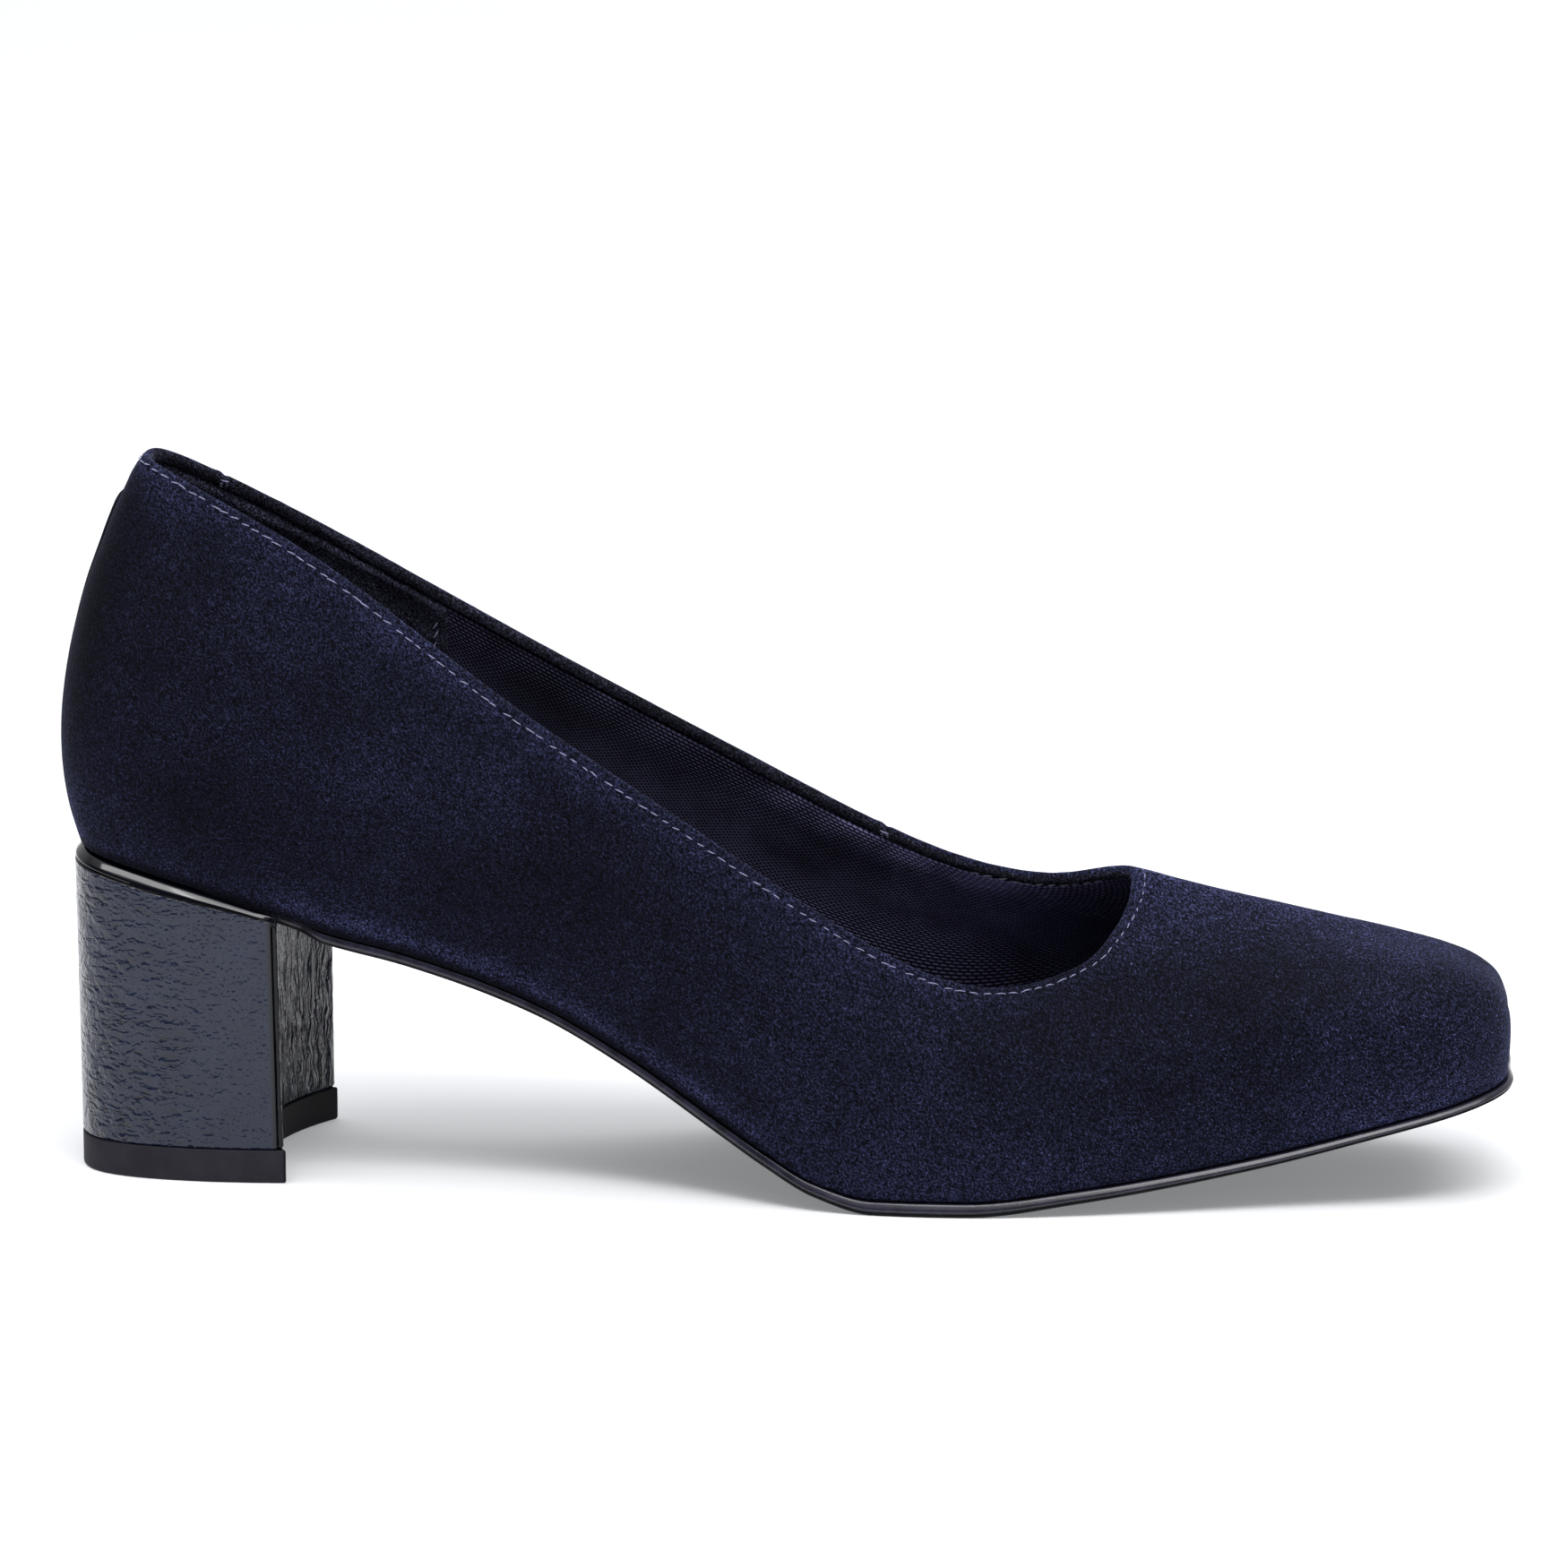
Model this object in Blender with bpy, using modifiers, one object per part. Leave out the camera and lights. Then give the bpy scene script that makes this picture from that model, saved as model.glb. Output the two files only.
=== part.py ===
"""Square toe pump, right shoe: lasted suede upper, insole, outsole, block heel and top piece.

The last stands with its toe along +X, its outer (lateral) side along -Y and the floor at Z = 0.
Tables and sizes are in millimetres from the back of the seat. The scene itself is in metres.
"""

from collections import namedtuple

import bmesh
import bpy
import numpy as np

MM = 0.001

# Driving sizes
GAP = 0.3
WALL = 1.6
FOLDED_WALL = 2.2
INSOLE_THICK = 2.4
INSOLE_SIDE_GAP = 0.7
LIFT_HEIGHT = 5.6
LIFT_CHAMFER = 0.4
RIM_PROUD = 1.2
RIM_WIDTH = 2.1
SEAT_SOLE_INSET = RIM_WIDTH + GAP

# The middle of the finished shoe in the last's own millimetres
ORIGIN_X = 122.6
ORIGIN_Y = 0.5

# Mesh density
COLUMNS = 112
WALL_STEPS = 13
HEEL_POINTS = 37
STRIP_POINTS = 7
SHARP_DEGREES = 40.0

# One row for each section of the upper. The feather is where the wall meets the sole, and top is
# the topline. The wall first stands out by bulge at the height rise above the feather. Its
# shoulder lies at the share shoulder_at of the way from there to the topline, shoulder_up off the
# straight line, and sag hollows the last stretch to the topline.
Section = namedtuple(
    "Section",
    "feather_x feather_y bulge rise shoulder_at shoulder_up sag top_x top_y top_z",
)
BACK = Section(5.0, 0.0, 5.8, 13.5, 0.50, 3.0, -0.9, 15.1, 0.0, 119.8)
LATERAL = (
    Section(8.9, -18.9, 5.2, 13.5, 0.48, 3.4, -0.5, 19.0, -8.5, 118.6),
    Section(21.5, -24.3, 5.3, 13.0, 0.46, 4.2, 0.0, 31.0, -15.0, 113.4),
    Section(44.0, -24.6, 5.0, 13.0, 0.45, 4.0, 0.0, 50.0, -20.5, 103.4),
    Section(74.0, -23.5, 4.0, 12.0, 0.45, 3.5, 0.0, 78.0, -24.5, 83.4),
    Section(104.0, -28.5, 3.0, 11.0, 0.45, 3.0, 0.0, 106.0, -26.0, 65.0),
    Section(145.0, -37.0, 2.2, 9.0, 0.48, 2.5, 0.0, 143.0, -25.5, 41.3),
    Section(186.0, -32.0, 2.0, 8.0, 0.32, 4.5, 0.0, 163.0, -20.5, 35.8),
    Section(220.0, -25.0, 1.8, 8.0, 0.16, 7.5, 0.8, 172.3, -14.5, 37.8),
    Section(238.0, -19.8, 1.7, 8.0, 0.10, 8.3, 1.2, 177.2, -8.5, 41.2),
    Section(242.8, -13.6, 1.5, 8.0, 0.07, 8.6, 1.2, 179.6, -2.5, 44.3),
)
TOE = Section(243.5, 2.5, 1.2, 8.0, 0.05, 8.3, 1.0, 181.0, 5.0, 48.9)
MEDIAL = (
    Section(8.9, 18.9, 5.2, 13.5, 0.48, 3.4, -0.5, 19.0, 8.5, 118.6),
    Section(21.5, 24.3, 5.3, 13.0, 0.46, 4.2, 0.0, 31.0, 15.0, 111.9),
    Section(45.0, 23.8, 5.0, 13.0, 0.45, 4.0, 0.0, 50.0, 20.5, 100.8),
    Section(78.0, 21.5, 4.0, 13.0, 0.45, 3.5, 0.0, 80.0, 26.5, 83.0),
    Section(110.0, 27.0, 3.0, 12.0, 0.45, 3.0, 0.0, 112.0, 27.0, 66.4),
    Section(156.0, 38.0, 2.2, 10.0, 0.45, 3.5, 0.0, 146.0, 26.0, 50.1),
    Section(190.0, 34.0, 2.0, 9.0, 0.30, 4.8, 0.0, 162.5, 21.5, 46.8),
    Section(219.0, 28.5, 1.8, 8.0, 0.16, 5.3, 0.0, 171.5, 17.0, 47.9),
    Section(236.0, 23.6, 1.7, 8.0, 0.10, 5.7, 0.2, 176.9, 13.0, 49.5),
    Section(242.0, 17.4, 1.5, 8.0, 0.07, 6.9, 0.4, 179.8, 9.5, 50.2),
)

# The sole from the seat to the toe: the height of its underside, its thickness, and how far its
# edge stands out past the feather. Under the seat it lies inside the heel's rim.
SoleRow = namedtuple("SoleRow", "x under thick proud")
SOLE = (
    SoleRow(-5.0, 55.8, 1.6, -SEAT_SOLE_INSET),
    SoleRow(24.0, 49.0, 1.6, -SEAT_SOLE_INSET),
    SoleRow(43.5, 42.8, 1.6, -SEAT_SOLE_INSET),
    SoleRow(48.5, 40.9, 1.6, 0.2),
    SoleRow(62.0, 37.3, 1.6, 0.2),
    SoleRow(84.0, 29.6, 1.6, 0.3),
    SoleRow(99.0, 21.8, 1.7, 0.4),
    SoleRow(115.0, 11.8, 1.8, 0.6),
    SoleRow(123.0, 6.8, 1.9, 0.8),
    SoleRow(131.0, 2.5, 2.0, 0.9),
    SoleRow(141.0, 0.0, 2.2, 1.0),
    SoleRow(156.0, 0.0, 2.2, 1.0),
    SoleRow(174.0, 2.1, 2.0, 1.0),
    SoleRow(203.0, 7.1, 1.7, 1.1),
    SoleRow(232.0, 14.4, 1.5, 1.2),
    SoleRow(250.0, 19.0, 1.5, 1.2),
)

# The sole's edge from top to bottom: how far in from the edge, and the share of the thickness.
EdgeRow = namedtuple("EdgeRow", "inset depth")
SOLE_EDGE = (
    EdgeRow(0.75, 0.00),
    EdgeRow(0.20, 0.14),
    EdgeRow(0.00, 0.36),
    EdgeRow(0.15, 0.58),
    EdgeRow(0.45, 0.68),
    EdgeRow(0.25, 0.76),
    EdgeRow(0.60, 1.00),
)

# The insole's edge from bottom to top, in the same columns.
INSOLE_EDGE = (
    EdgeRow(0.0, 0.0),
    EdgeRow(0.0, 0.7),
    EdgeRow(0.6, 1.0),
)

# The heel: where each side ends at the front, how deep the breast is hollowed, and how much
# narrower and shorter the foot of the block is than its top. The rim fades out over a share of
# the way round at each front corner.
HEEL_FRONT_LATERAL = 41.3
HEEL_FRONT_MEDIAL = 42.4
BREAST_DEPTH = 7.0
HEEL_NARROWING = 0.06
HEEL_BACK_STEP = 0.4
RIM_FADE = 0.12

# The heel's rolled rim from its crest down: drop below the seat, and inset from the side.
RimRow = namedtuple("RimRow", "drop inset")
HEEL_RIM = (
    RimRow(0.0, 1.9),
    RimRow(0.25, 0.9),
    RimRow(0.9, 0.25),
    RimRow(1.8, 0.0),
    RimRow(2.5, 0.3),
    RimRow(3.2, 0.1),
)
HEEL_LEVELS = (0.66, 0.33, 0.0)

# The hollow in the top of the heel runs past the breast by reach, and is cut from this high.
POCKET_REACH = 12.0
POCKET_HEIGHT = 8.0

# The strip over the back seam, between two shares of the wall's way from feather to topline.
STRIP_HALF_WIDTH = 6.0
STRIP_THICK = 0.75
STRIP_LOW = 0.04
STRIP_HIGH = 0.89

# Colour, roughness and metallic value of each material
MATERIALS = {
    "navy_suede": ((0.012, 0.015, 0.036), 0.95, 0.0),
    "navy_patent": ((0.012, 0.018, 0.040), 0.15, 0.0),
    "black_sole": ((0.012, 0.012, 0.014), 0.45, 0.0),
    "black_rubber": ((0.015, 0.014, 0.014), 0.70, 0.0),
    "navy_lining": ((0.014, 0.017, 0.040), 0.90, 0.0),
}


def even_curve(xs, ys, at):
    """Cubic through rows that never overshoots: each slope is the harmonic mean of its two chords."""
    chord = np.diff(ys) / np.diff(xs)
    before, after = chord[:-1], chord[1:]
    same = before * after > 0.0
    total = np.where(same, before + after, 1.0)
    inner = np.where(same, 2.0 * before * after / total, 0.0)
    slope = np.concatenate([chord[:1], inner, chord[-1:]])
    cell = np.clip(np.searchsorted(xs, at) - 1, 0, len(xs) - 2)
    span = xs[cell + 1] - xs[cell]
    t = (at - xs[cell]) / span
    rise = ys[cell] * (1 + 2 * t) * (1 - t) ** 2 + ys[cell + 1] * t * t * (3 - 2 * t)
    return rise + span * (slope[cell] * t * (1 - t) ** 2 - slope[cell + 1] * t * t * (1 - t))


def closed_curve(knots, values, at):
    """Closed cubic through rows whose curvature runs on evenly from the last row to the first."""
    span = np.diff(np.append(knots, knots[0] + 1.0))[:, None]
    span_before = np.roll(span, 1, axis=0)
    chord = (np.roll(values, -1, axis=0) - values) / span
    count = len(knots)
    rows = np.arange(count)
    system = np.zeros((count, count))
    system[rows, rows - 1] = span[:, 0]
    system[rows, rows] = 2.0 * (span + span_before)[:, 0]
    system[rows, (rows + 1) % count] = span_before[:, 0]
    slope = np.linalg.solve(system, 3.0 * (span * np.roll(chord, 1, axis=0) + span_before * chord))
    at = np.asarray(at) % 1.0
    cell = np.searchsorted(knots, at, side="right") - 1
    t = ((at - knots[cell]) / span[cell, 0])[:, None]
    after = (cell + 1) % count
    rise = values[cell] * (1 + 2 * t) * (1 - t) ** 2 + values[after] * t * t * (3 - 2 * t)
    return rise + span[cell] * (slope[cell] * t * (1 - t) ** 2 - slope[after] * t * t * (1 - t))


def half_knots(rows):
    """Share of the feather's length at each row of one side, from the back of the seat to the toe."""
    plan = np.array([(row.feather_x, row.feather_y) for row in rows])
    length = np.concatenate([[0.0], np.cumsum(np.linalg.norm(np.diff(plan, axis=0), axis=1))])
    return 0.5 * length / length[-1]


ROUND = np.array((BACK,) + LATERAL + (TOE,) + MEDIAL[::-1])
KNOTS = np.concatenate(
    [
        half_knots((BACK,) + LATERAL + (TOE,)),
        1.0 - half_knots((BACK,) + MEDIAL + (TOE,))[-2:0:-1],
    ]
)
SOLE_X, SOLE_UNDER, SOLE_THICK, SOLE_PROUD = np.array(SOLE).T


def sole_under(x):
    """Height of the sole's underside."""
    return even_curve(SOLE_X, SOLE_UNDER, x)


def sole_height(x, share):
    """Height at a share of the sole's thickness above its underside."""
    return sole_under(x) + even_curve(SOLE_X, SOLE_THICK, x) * share


def feather_height(x):
    """The wall stands one gap above the sole."""
    return sole_height(x, 1.0) + GAP


def feather(u):
    """Plan of the feather at shares u of the way round, with its outward direction."""
    step = 0.0005
    plan = closed_curve(KNOTS, ROUND[:, :2], u)
    along = closed_curve(KNOTS, ROUND[:, :2], u + step) - closed_curve(KNOTS, ROUND[:, :2], u - step)
    out = np.stack([along[:, 1], -along[:, 0]], axis=1)
    return plan, out / np.linalg.norm(out, axis=1)[:, None]


def column_weights(v):
    """Weights of the six control points of a wall's cubic spline, clamped, with two inner knots."""
    knots = np.array([0, 0, 0, 0, 1, 2, 3, 3, 3, 3]) / 3.0
    v = np.clip(v, 0.0, 1.0 - 1e-9)[:, None]
    weight = ((knots[:-1] <= v) & (v < knots[1:])).astype(float)
    for degree in (1, 2, 3):
        start, end = knots[:-degree], knots[degree:]
        span = end - start
        share = np.where(span > 0.0, (v - start) / np.where(span > 0.0, span, 1.0), 0.0)
        left = share[:, :-1] * weight[:, :-1]
        right = np.where(span[1:] > 0.0, 1.0 - share[:, 1:], 0.0) * weight[:, 1:]
        weight = left + right
    return weight


def upper_points(u, v):
    """Outer face of the upper on the grid u by v, v from the feather to the topline.

    Each column is a spline from the feather over the bulge and the shoulder to the topline, and
    the sizes of its section are the closed curves through the rows of the tables.
    """
    size = Section(*closed_curve(KNOTS, ROUND, u).T)
    plan, out = feather(u)
    low = np.column_stack([plan, feather_height(plan[:, 0])])
    out = np.column_stack([out, np.zeros(len(u))])
    up = np.array([0.0, 0.0, 1.0])
    wall = low + out * size.bulge[:, None] + up * size.rise[:, None]
    top = np.column_stack([size.top_x, size.top_y, size.top_z])
    run = top - wall
    lean = run / np.linalg.norm(run, axis=1)[:, None]
    swell = out + up
    swell = swell - lean * np.sum(swell * lean, axis=1)[:, None]
    swell /= np.linalg.norm(swell, axis=1)[:, None]
    shoulder = wall + run * size.shoulder_at[:, None] + swell * size.shoulder_up[:, None]
    third = (top - shoulder) / 3.0
    hollow = swell * size.sag[:, None]
    control = np.stack([low, wall, shoulder, shoulder + third, top - third - hollow, top])
    return np.einsum("vk,kuc->uvc", column_weights(v), control)


def lifted_points(u, v, lift):
    """The upper's outer face moved out along its own normal by lift."""
    step = 0.002
    points = upper_points(u, v)
    across = upper_points(u + step, v) - upper_points(u - step, v)
    rising = upper_points(u, np.minimum(v + step, 1.0)) - upper_points(u, np.maximum(v - step, 0.0))
    normal = np.cross(across, rising)
    return points + normal / np.linalg.norm(normal, axis=2)[..., None] * lift


def u_at(x, side):
    """Share of the way round where the feather of one side (-1 lateral, 1 medial) reaches x."""
    before_toe = 0.45
    samples = 400
    shares = np.linspace(0.0, before_toe, samples)
    reach = feather(-side * shares)[0][:, 0]
    return -side * float(np.interp(x, reach, shares))


def inset_ring(u, inset, height):
    """Closed ring inside the feather by inset, at the height worked out from x."""
    plan, out = feather(u)
    plan = plan - out * np.broadcast_to(inset, len(u))[:, None]
    return np.column_stack([plan, height(plan[:, 0])])


def all_round():
    """Even shares of the way round, one for each column of the mesh."""
    return np.arange(COLUMNS) / COLUMNS


def sole_rings(u):
    """Rings of the outsole's edge, top to bottom: bead, groove and lower lip."""
    plan, _ = feather(u)
    proud = even_curve(SOLE_X, SOLE_PROUD, plan[:, 0])
    rings = []
    for row in SOLE_EDGE:
        rings.append(inset_ring(u, row.inset - proud, lambda x: sole_height(x, 1.0 - row.depth)))
    return rings


def seat_curve(front_lateral, front_medial, inset):
    """Plan from the lateral front of the seat round the back to the medial front."""
    u = np.linspace(u_at(front_lateral, -1), u_at(front_medial, 1), HEEL_POINTS)
    plan, out = feather(u)
    return plan - out * np.broadcast_to(inset, len(u))[:, None]


def close_front(curve, depth):
    """The seat curve closed by a front edge, hollowed by depth along a parabola."""
    across = np.linspace(1.0, 0.0, HEEL_POINTS)[1:-1]
    front = curve[0] + (curve[-1] - curve[0]) * across[:, None]
    front[:, 0] -= depth * 4.0 * across * (1.0 - across)
    return np.concatenate([curve, front])


def heel_plan(inset, share):
    """Closed plan of the heel at a share of its height: seat curve, then the hollow breast."""
    curve = seat_curve(HEEL_FRONT_LATERAL, HEEL_FRONT_MEDIAL, inset - RIM_PROUD)
    curve[:, 0] += HEEL_BACK_STEP * (1.0 - share)
    curve[:, 1] *= 1.0 - HEEL_NARROWING * (1.0 - share)
    return close_front(curve, BREAST_DEPTH)


def heel_rings():
    """Rings of the heel from the crest of its rim down to its foot."""
    along = np.linspace(0.0, 1.0, HEEL_POINTS)
    fade = np.clip(np.minimum(along, 1.0 - along) / RIM_FADE, 0.0, 1.0)
    foot = LIFT_HEIGHT + GAP
    rings = []
    for row in HEEL_RIM:
        plan = heel_plan(row.inset * fade, 1.0)
        rings.append(np.column_stack([plan, sole_height(plan[:, 0], 1.0) - row.drop]))
    for level in HEEL_LEVELS:
        plan = heel_plan(0.0, level)
        crest = sole_height(plan[:, 0], 1.0) - HEEL_RIM[-1].drop
        rings.append(np.column_stack([plan, foot + (crest - foot) * level]))
    return rings


def stack_faces(levels, count):
    """Quads between the rings of a stack, and rungs that close its first and last ring.

    A rung joins point k of a ring to point count - k, so both ends of a rung lie across the shoe.
    """
    faces = []
    for level in range(levels - 1):
        for k in range(count):
            here, there = level * count + k, level * count + (k + 1) % count
            faces.append((here, there, there + count, here + count))
    for start in (0, (levels - 1) * count):
        for k in range(count // 2):
            rung = (k, k + 1, (count - k - 1) % count, (count - k) % count)
            faces.append(tuple(start + index for index in dict.fromkeys(rung)))
    return faces


def add_object(name, points, faces, material, holder, collection):
    """Mesh object from points in millimetres, shaded smooth up to a sharp angle."""
    mesh = bpy.data.meshes.new(name)
    mesh.from_pydata((np.asarray(points) * MM).tolist(), [], faces)
    if material:
        mesh.materials.append(material)
    mesh.shade_smooth()
    mesh.set_sharp_from_angle(angle=np.radians(SHARP_DEGREES))
    item = bpy.data.objects.new(name, mesh)
    item.parent = holder
    collection.objects.link(item)
    return item


def add_stack(name, rings, material, holder, collection):
    """Closed solid through a stack of rings, with its faces turned outwards."""
    faces = stack_faces(len(rings), len(rings[0]))
    item = add_object(name, np.concatenate(rings), faces, material, holder, collection)
    work = bmesh.new()
    work.from_mesh(item.data)
    bmesh.ops.recalc_face_normals(work, faces=work.faces)
    work.to_mesh(item.data)
    work.free()
    return item


def add_shell(name, grid, closed, thick, offset, material, holder, collection):
    """Wall of the given thickness on a grid of points, inward (-1) or outward (1) of it."""
    columns, rows = grid.shape[:2]
    faces = []
    for k in range(columns if closed else columns - 1):
        here, there = k * rows, (k + 1) % columns * rows
        faces += [(here + r, there + r, there + r + 1, here + r + 1) for r in range(rows - 1)]
    item = add_object(name, grid.reshape(-1, 3), faces, material, holder, collection)
    wall = item.modifiers.new("wall", "SOLIDIFY")
    wall.thickness = thick * MM
    wall.offset = offset
    wall.use_even_offset = True
    return item


def add_upper(material, holder, collection):
    """Hollow upper, open underneath and at the collar, with the folded topline as a thicker wall."""
    grid = upper_points(all_round(), np.linspace(0.0, 1.0, WALL_STEPS + 1))
    item = add_shell("upper", grid, True, FOLDED_WALL, -1.0, material, holder, collection)
    group = item.vertex_groups.new(name="folded")
    rows = WALL_STEPS + 1
    group.add([k * rows + WALL_STEPS for k in range(COLUMNS)], 1.0, "REPLACE")
    wall = item.modifiers["wall"]
    wall.vertex_group = group.name
    wall.thickness_vertex_group = WALL / FOLDED_WALL
    return item


def add_back_strip(material, holder, collection):
    """Strip over the back seam, from just above the seat to just under the topline."""
    step = 0.005
    ends, _ = feather(np.array([-step, step]))
    half = STRIP_HALF_WIDTH * 2.0 * step / np.linalg.norm(ends[1] - ends[0])
    u = np.linspace(-half, half, STRIP_POINTS)
    grid = lifted_points(u, np.linspace(STRIP_LOW, STRIP_HIGH, WALL_STEPS + 1), GAP)
    return add_shell("back_strip", grid, False, STRIP_THICK, 1.0, material, holder, collection)


def add_heel(material, holder, collection, cutters):
    """Block heel with a rolled rim, hollowed on top for the sole that runs under the seat."""
    item = add_stack("heel", heel_rings(), material, holder, collection)
    front = (HEEL_FRONT_LATERAL + POCKET_REACH, HEEL_FRONT_MEDIAL + POCKET_REACH)
    plan = close_front(seat_curve(*front, RIM_WIDTH), 0.0)
    floor = sole_under(plan[:, 0]) - GAP
    rings = [np.column_stack([plan, floor + POCKET_HEIGHT]), np.column_stack([plan, floor])]
    pocket = add_stack("seat_pocket", rings, None, holder, cutters)
    pocket.hide_render = True
    pocket.display_type = "WIRE"
    cut = item.modifiers.new("seat", "BOOLEAN")
    cut.operation = "DIFFERENCE"
    cut.solver = "EXACT"
    cut.object = pocket
    return item


def add_top_piece(material, holder, collection):
    """Lift under the heel, with a small chamfer round its lower edge."""
    rings = []
    for height, inset in ((LIFT_HEIGHT, 0.0), (LIFT_CHAMFER, 0.0), (0.0, LIFT_CHAMFER)):
        plan = heel_plan(inset, 0.0)
        rings.append(np.column_stack([plan, np.full(len(plan), height)]))
    return add_stack("top_piece", rings, material, holder, collection)


def add_insole(material, holder, collection):
    """Insole inside the wall, standing on the sole, with a rounded upper edge."""
    clear = WALL + INSOLE_SIDE_GAP
    rings = []
    for row in INSOLE_EDGE:
        lift = INSOLE_THICK * row.depth
        rings.append(inset_ring(all_round(), clear + row.inset, lambda x: feather_height(x) + lift))
    return add_stack("insole", rings, material, holder, collection)


def add_outsole(material, holder, collection):
    """Thin sole with toe spring, flat tread at the ball, arched shank and a beaded edge."""
    return add_stack("outsole", sole_rings(all_round()), material, holder, collection)


def new_collection(name):
    """Collection linked to the scene."""
    collection = bpy.data.collections.new(name)
    bpy.context.scene.collection.children.link(collection)
    return collection


def new_material(name):
    """Principled material from the row of that name."""
    colour, roughness, metallic = MATERIALS[name]
    material = bpy.data.materials.new(name)
    material.use_nodes = True
    shader = material.node_tree.nodes["Principled BSDF"]
    shader.inputs["Base Color"].default_value = (*colour, 1.0)
    shader.inputs["Roughness"].default_value = roughness
    shader.inputs["Metallic"].default_value = metallic
    return material


def main():
    """Build the shoe on an empty that stands for the last."""
    for item in list(bpy.data.objects):
        bpy.data.objects.remove(item, do_unlink=True)
    shoe = new_collection("square_toe_pump")
    cutters = new_collection("cutters")
    holder = bpy.data.objects.new("last", None)
    holder.location = (-ORIGIN_X * MM, -ORIGIN_Y * MM, 0.0)
    shoe.objects.link(holder)
    finish = {name: new_material(name) for name in MATERIALS}
    add_upper(finish["navy_suede"], holder, shoe)
    add_back_strip(finish["navy_suede"], holder, shoe)
    add_insole(finish["navy_lining"], holder, shoe)
    add_outsole(finish["black_sole"], holder, shoe)
    add_heel(finish["navy_patent"], holder, shoe, cutters)
    add_top_piece(finish["black_rubber"], holder, shoe)
    bpy.context.view_layer.update()


main()
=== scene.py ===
"""Looks of the square toe pump: suede upper, lining, patent heel, sole, stitches and studio.

Shapes are worked out in millimetres on the last, whose toe points along +X, whose outer side faces
-Y and whose seat begins near X = 0. to_row() moves them to the frame's origin and into metres.
"""

from collections import namedtuple

import bmesh
import bpy
import numpy as np
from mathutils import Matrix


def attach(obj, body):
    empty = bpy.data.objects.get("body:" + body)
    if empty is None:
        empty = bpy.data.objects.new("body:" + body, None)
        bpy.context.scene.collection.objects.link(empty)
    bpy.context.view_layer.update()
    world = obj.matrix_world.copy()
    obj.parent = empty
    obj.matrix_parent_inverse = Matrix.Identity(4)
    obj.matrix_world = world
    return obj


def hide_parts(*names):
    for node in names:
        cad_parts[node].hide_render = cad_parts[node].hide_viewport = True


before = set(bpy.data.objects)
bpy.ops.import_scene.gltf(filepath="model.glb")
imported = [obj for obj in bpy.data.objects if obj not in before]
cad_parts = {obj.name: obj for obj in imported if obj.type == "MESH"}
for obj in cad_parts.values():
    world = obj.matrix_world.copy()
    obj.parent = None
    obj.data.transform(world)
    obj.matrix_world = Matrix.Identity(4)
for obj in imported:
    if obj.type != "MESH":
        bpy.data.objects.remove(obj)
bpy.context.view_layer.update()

MM = 0.001
ORIGIN = np.array([122.6, 0.5, 0.0])

# Sizes of the making
GAP = 0.3
SUEDE = 1.0
LINING_IN = 1.55
FOLD_RADIUS = 1.1
BAND_DEPTH = 1.75
INSOLE_THICK = 2.4
INSOLE_CLEAR = 2.3
LIFT_HEIGHT = 5.6
RIM_PROUD = 1.2
RIM_WIDTH = 2.1
SEAT_SOLE_INSET = RIM_WIDTH + GAP

# Sections of the upper: feather, bulge of the wall at a rise, shoulder, sag and topline.
Section = namedtuple(
    "Section",
    "feather_x feather_y bulge rise shoulder_at shoulder_up sag top_x top_y top_z",
)
BACK = Section(5.0, 0.0, 5.8, 13.5, 0.50, 3.0, -0.9, 15.1, 0.0, 119.8)
LATERAL = (
    Section(8.9, -18.9, 5.2, 13.5, 0.48, 3.4, -0.5, 19.0, -8.5, 118.6),
    Section(21.5, -24.3, 5.3, 13.0, 0.46, 4.2, 0.0, 31.0, -15.0, 113.4),
    Section(44.0, -24.6, 5.0, 13.0, 0.45, 4.0, 0.0, 50.0, -20.5, 103.4),
    Section(74.0, -23.5, 4.0, 12.0, 0.45, 3.5, 0.0, 78.0, -24.5, 83.4),
    Section(104.0, -28.5, 3.0, 11.0, 0.45, 3.0, 0.0, 106.0, -26.0, 65.0),
    Section(145.0, -37.0, 2.2, 9.0, 0.48, 2.5, 0.0, 143.0, -25.5, 41.3),
    Section(186.0, -32.0, 2.0, 8.0, 0.32, 4.5, 0.0, 163.0, -20.5, 35.8),
    Section(220.0, -25.0, 1.8, 8.0, 0.16, 7.5, 0.8, 172.3, -14.5, 37.8),
    Section(238.0, -19.8, 1.7, 8.0, 0.10, 8.3, 1.2, 177.2, -8.5, 41.2),
    Section(242.8, -13.6, 1.5, 8.0, 0.07, 8.6, 1.2, 179.6, -2.5, 44.3),
)
TOE = Section(243.5, 2.5, 1.2, 8.0, 0.05, 8.3, 1.0, 181.0, 5.0, 48.9)
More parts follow.
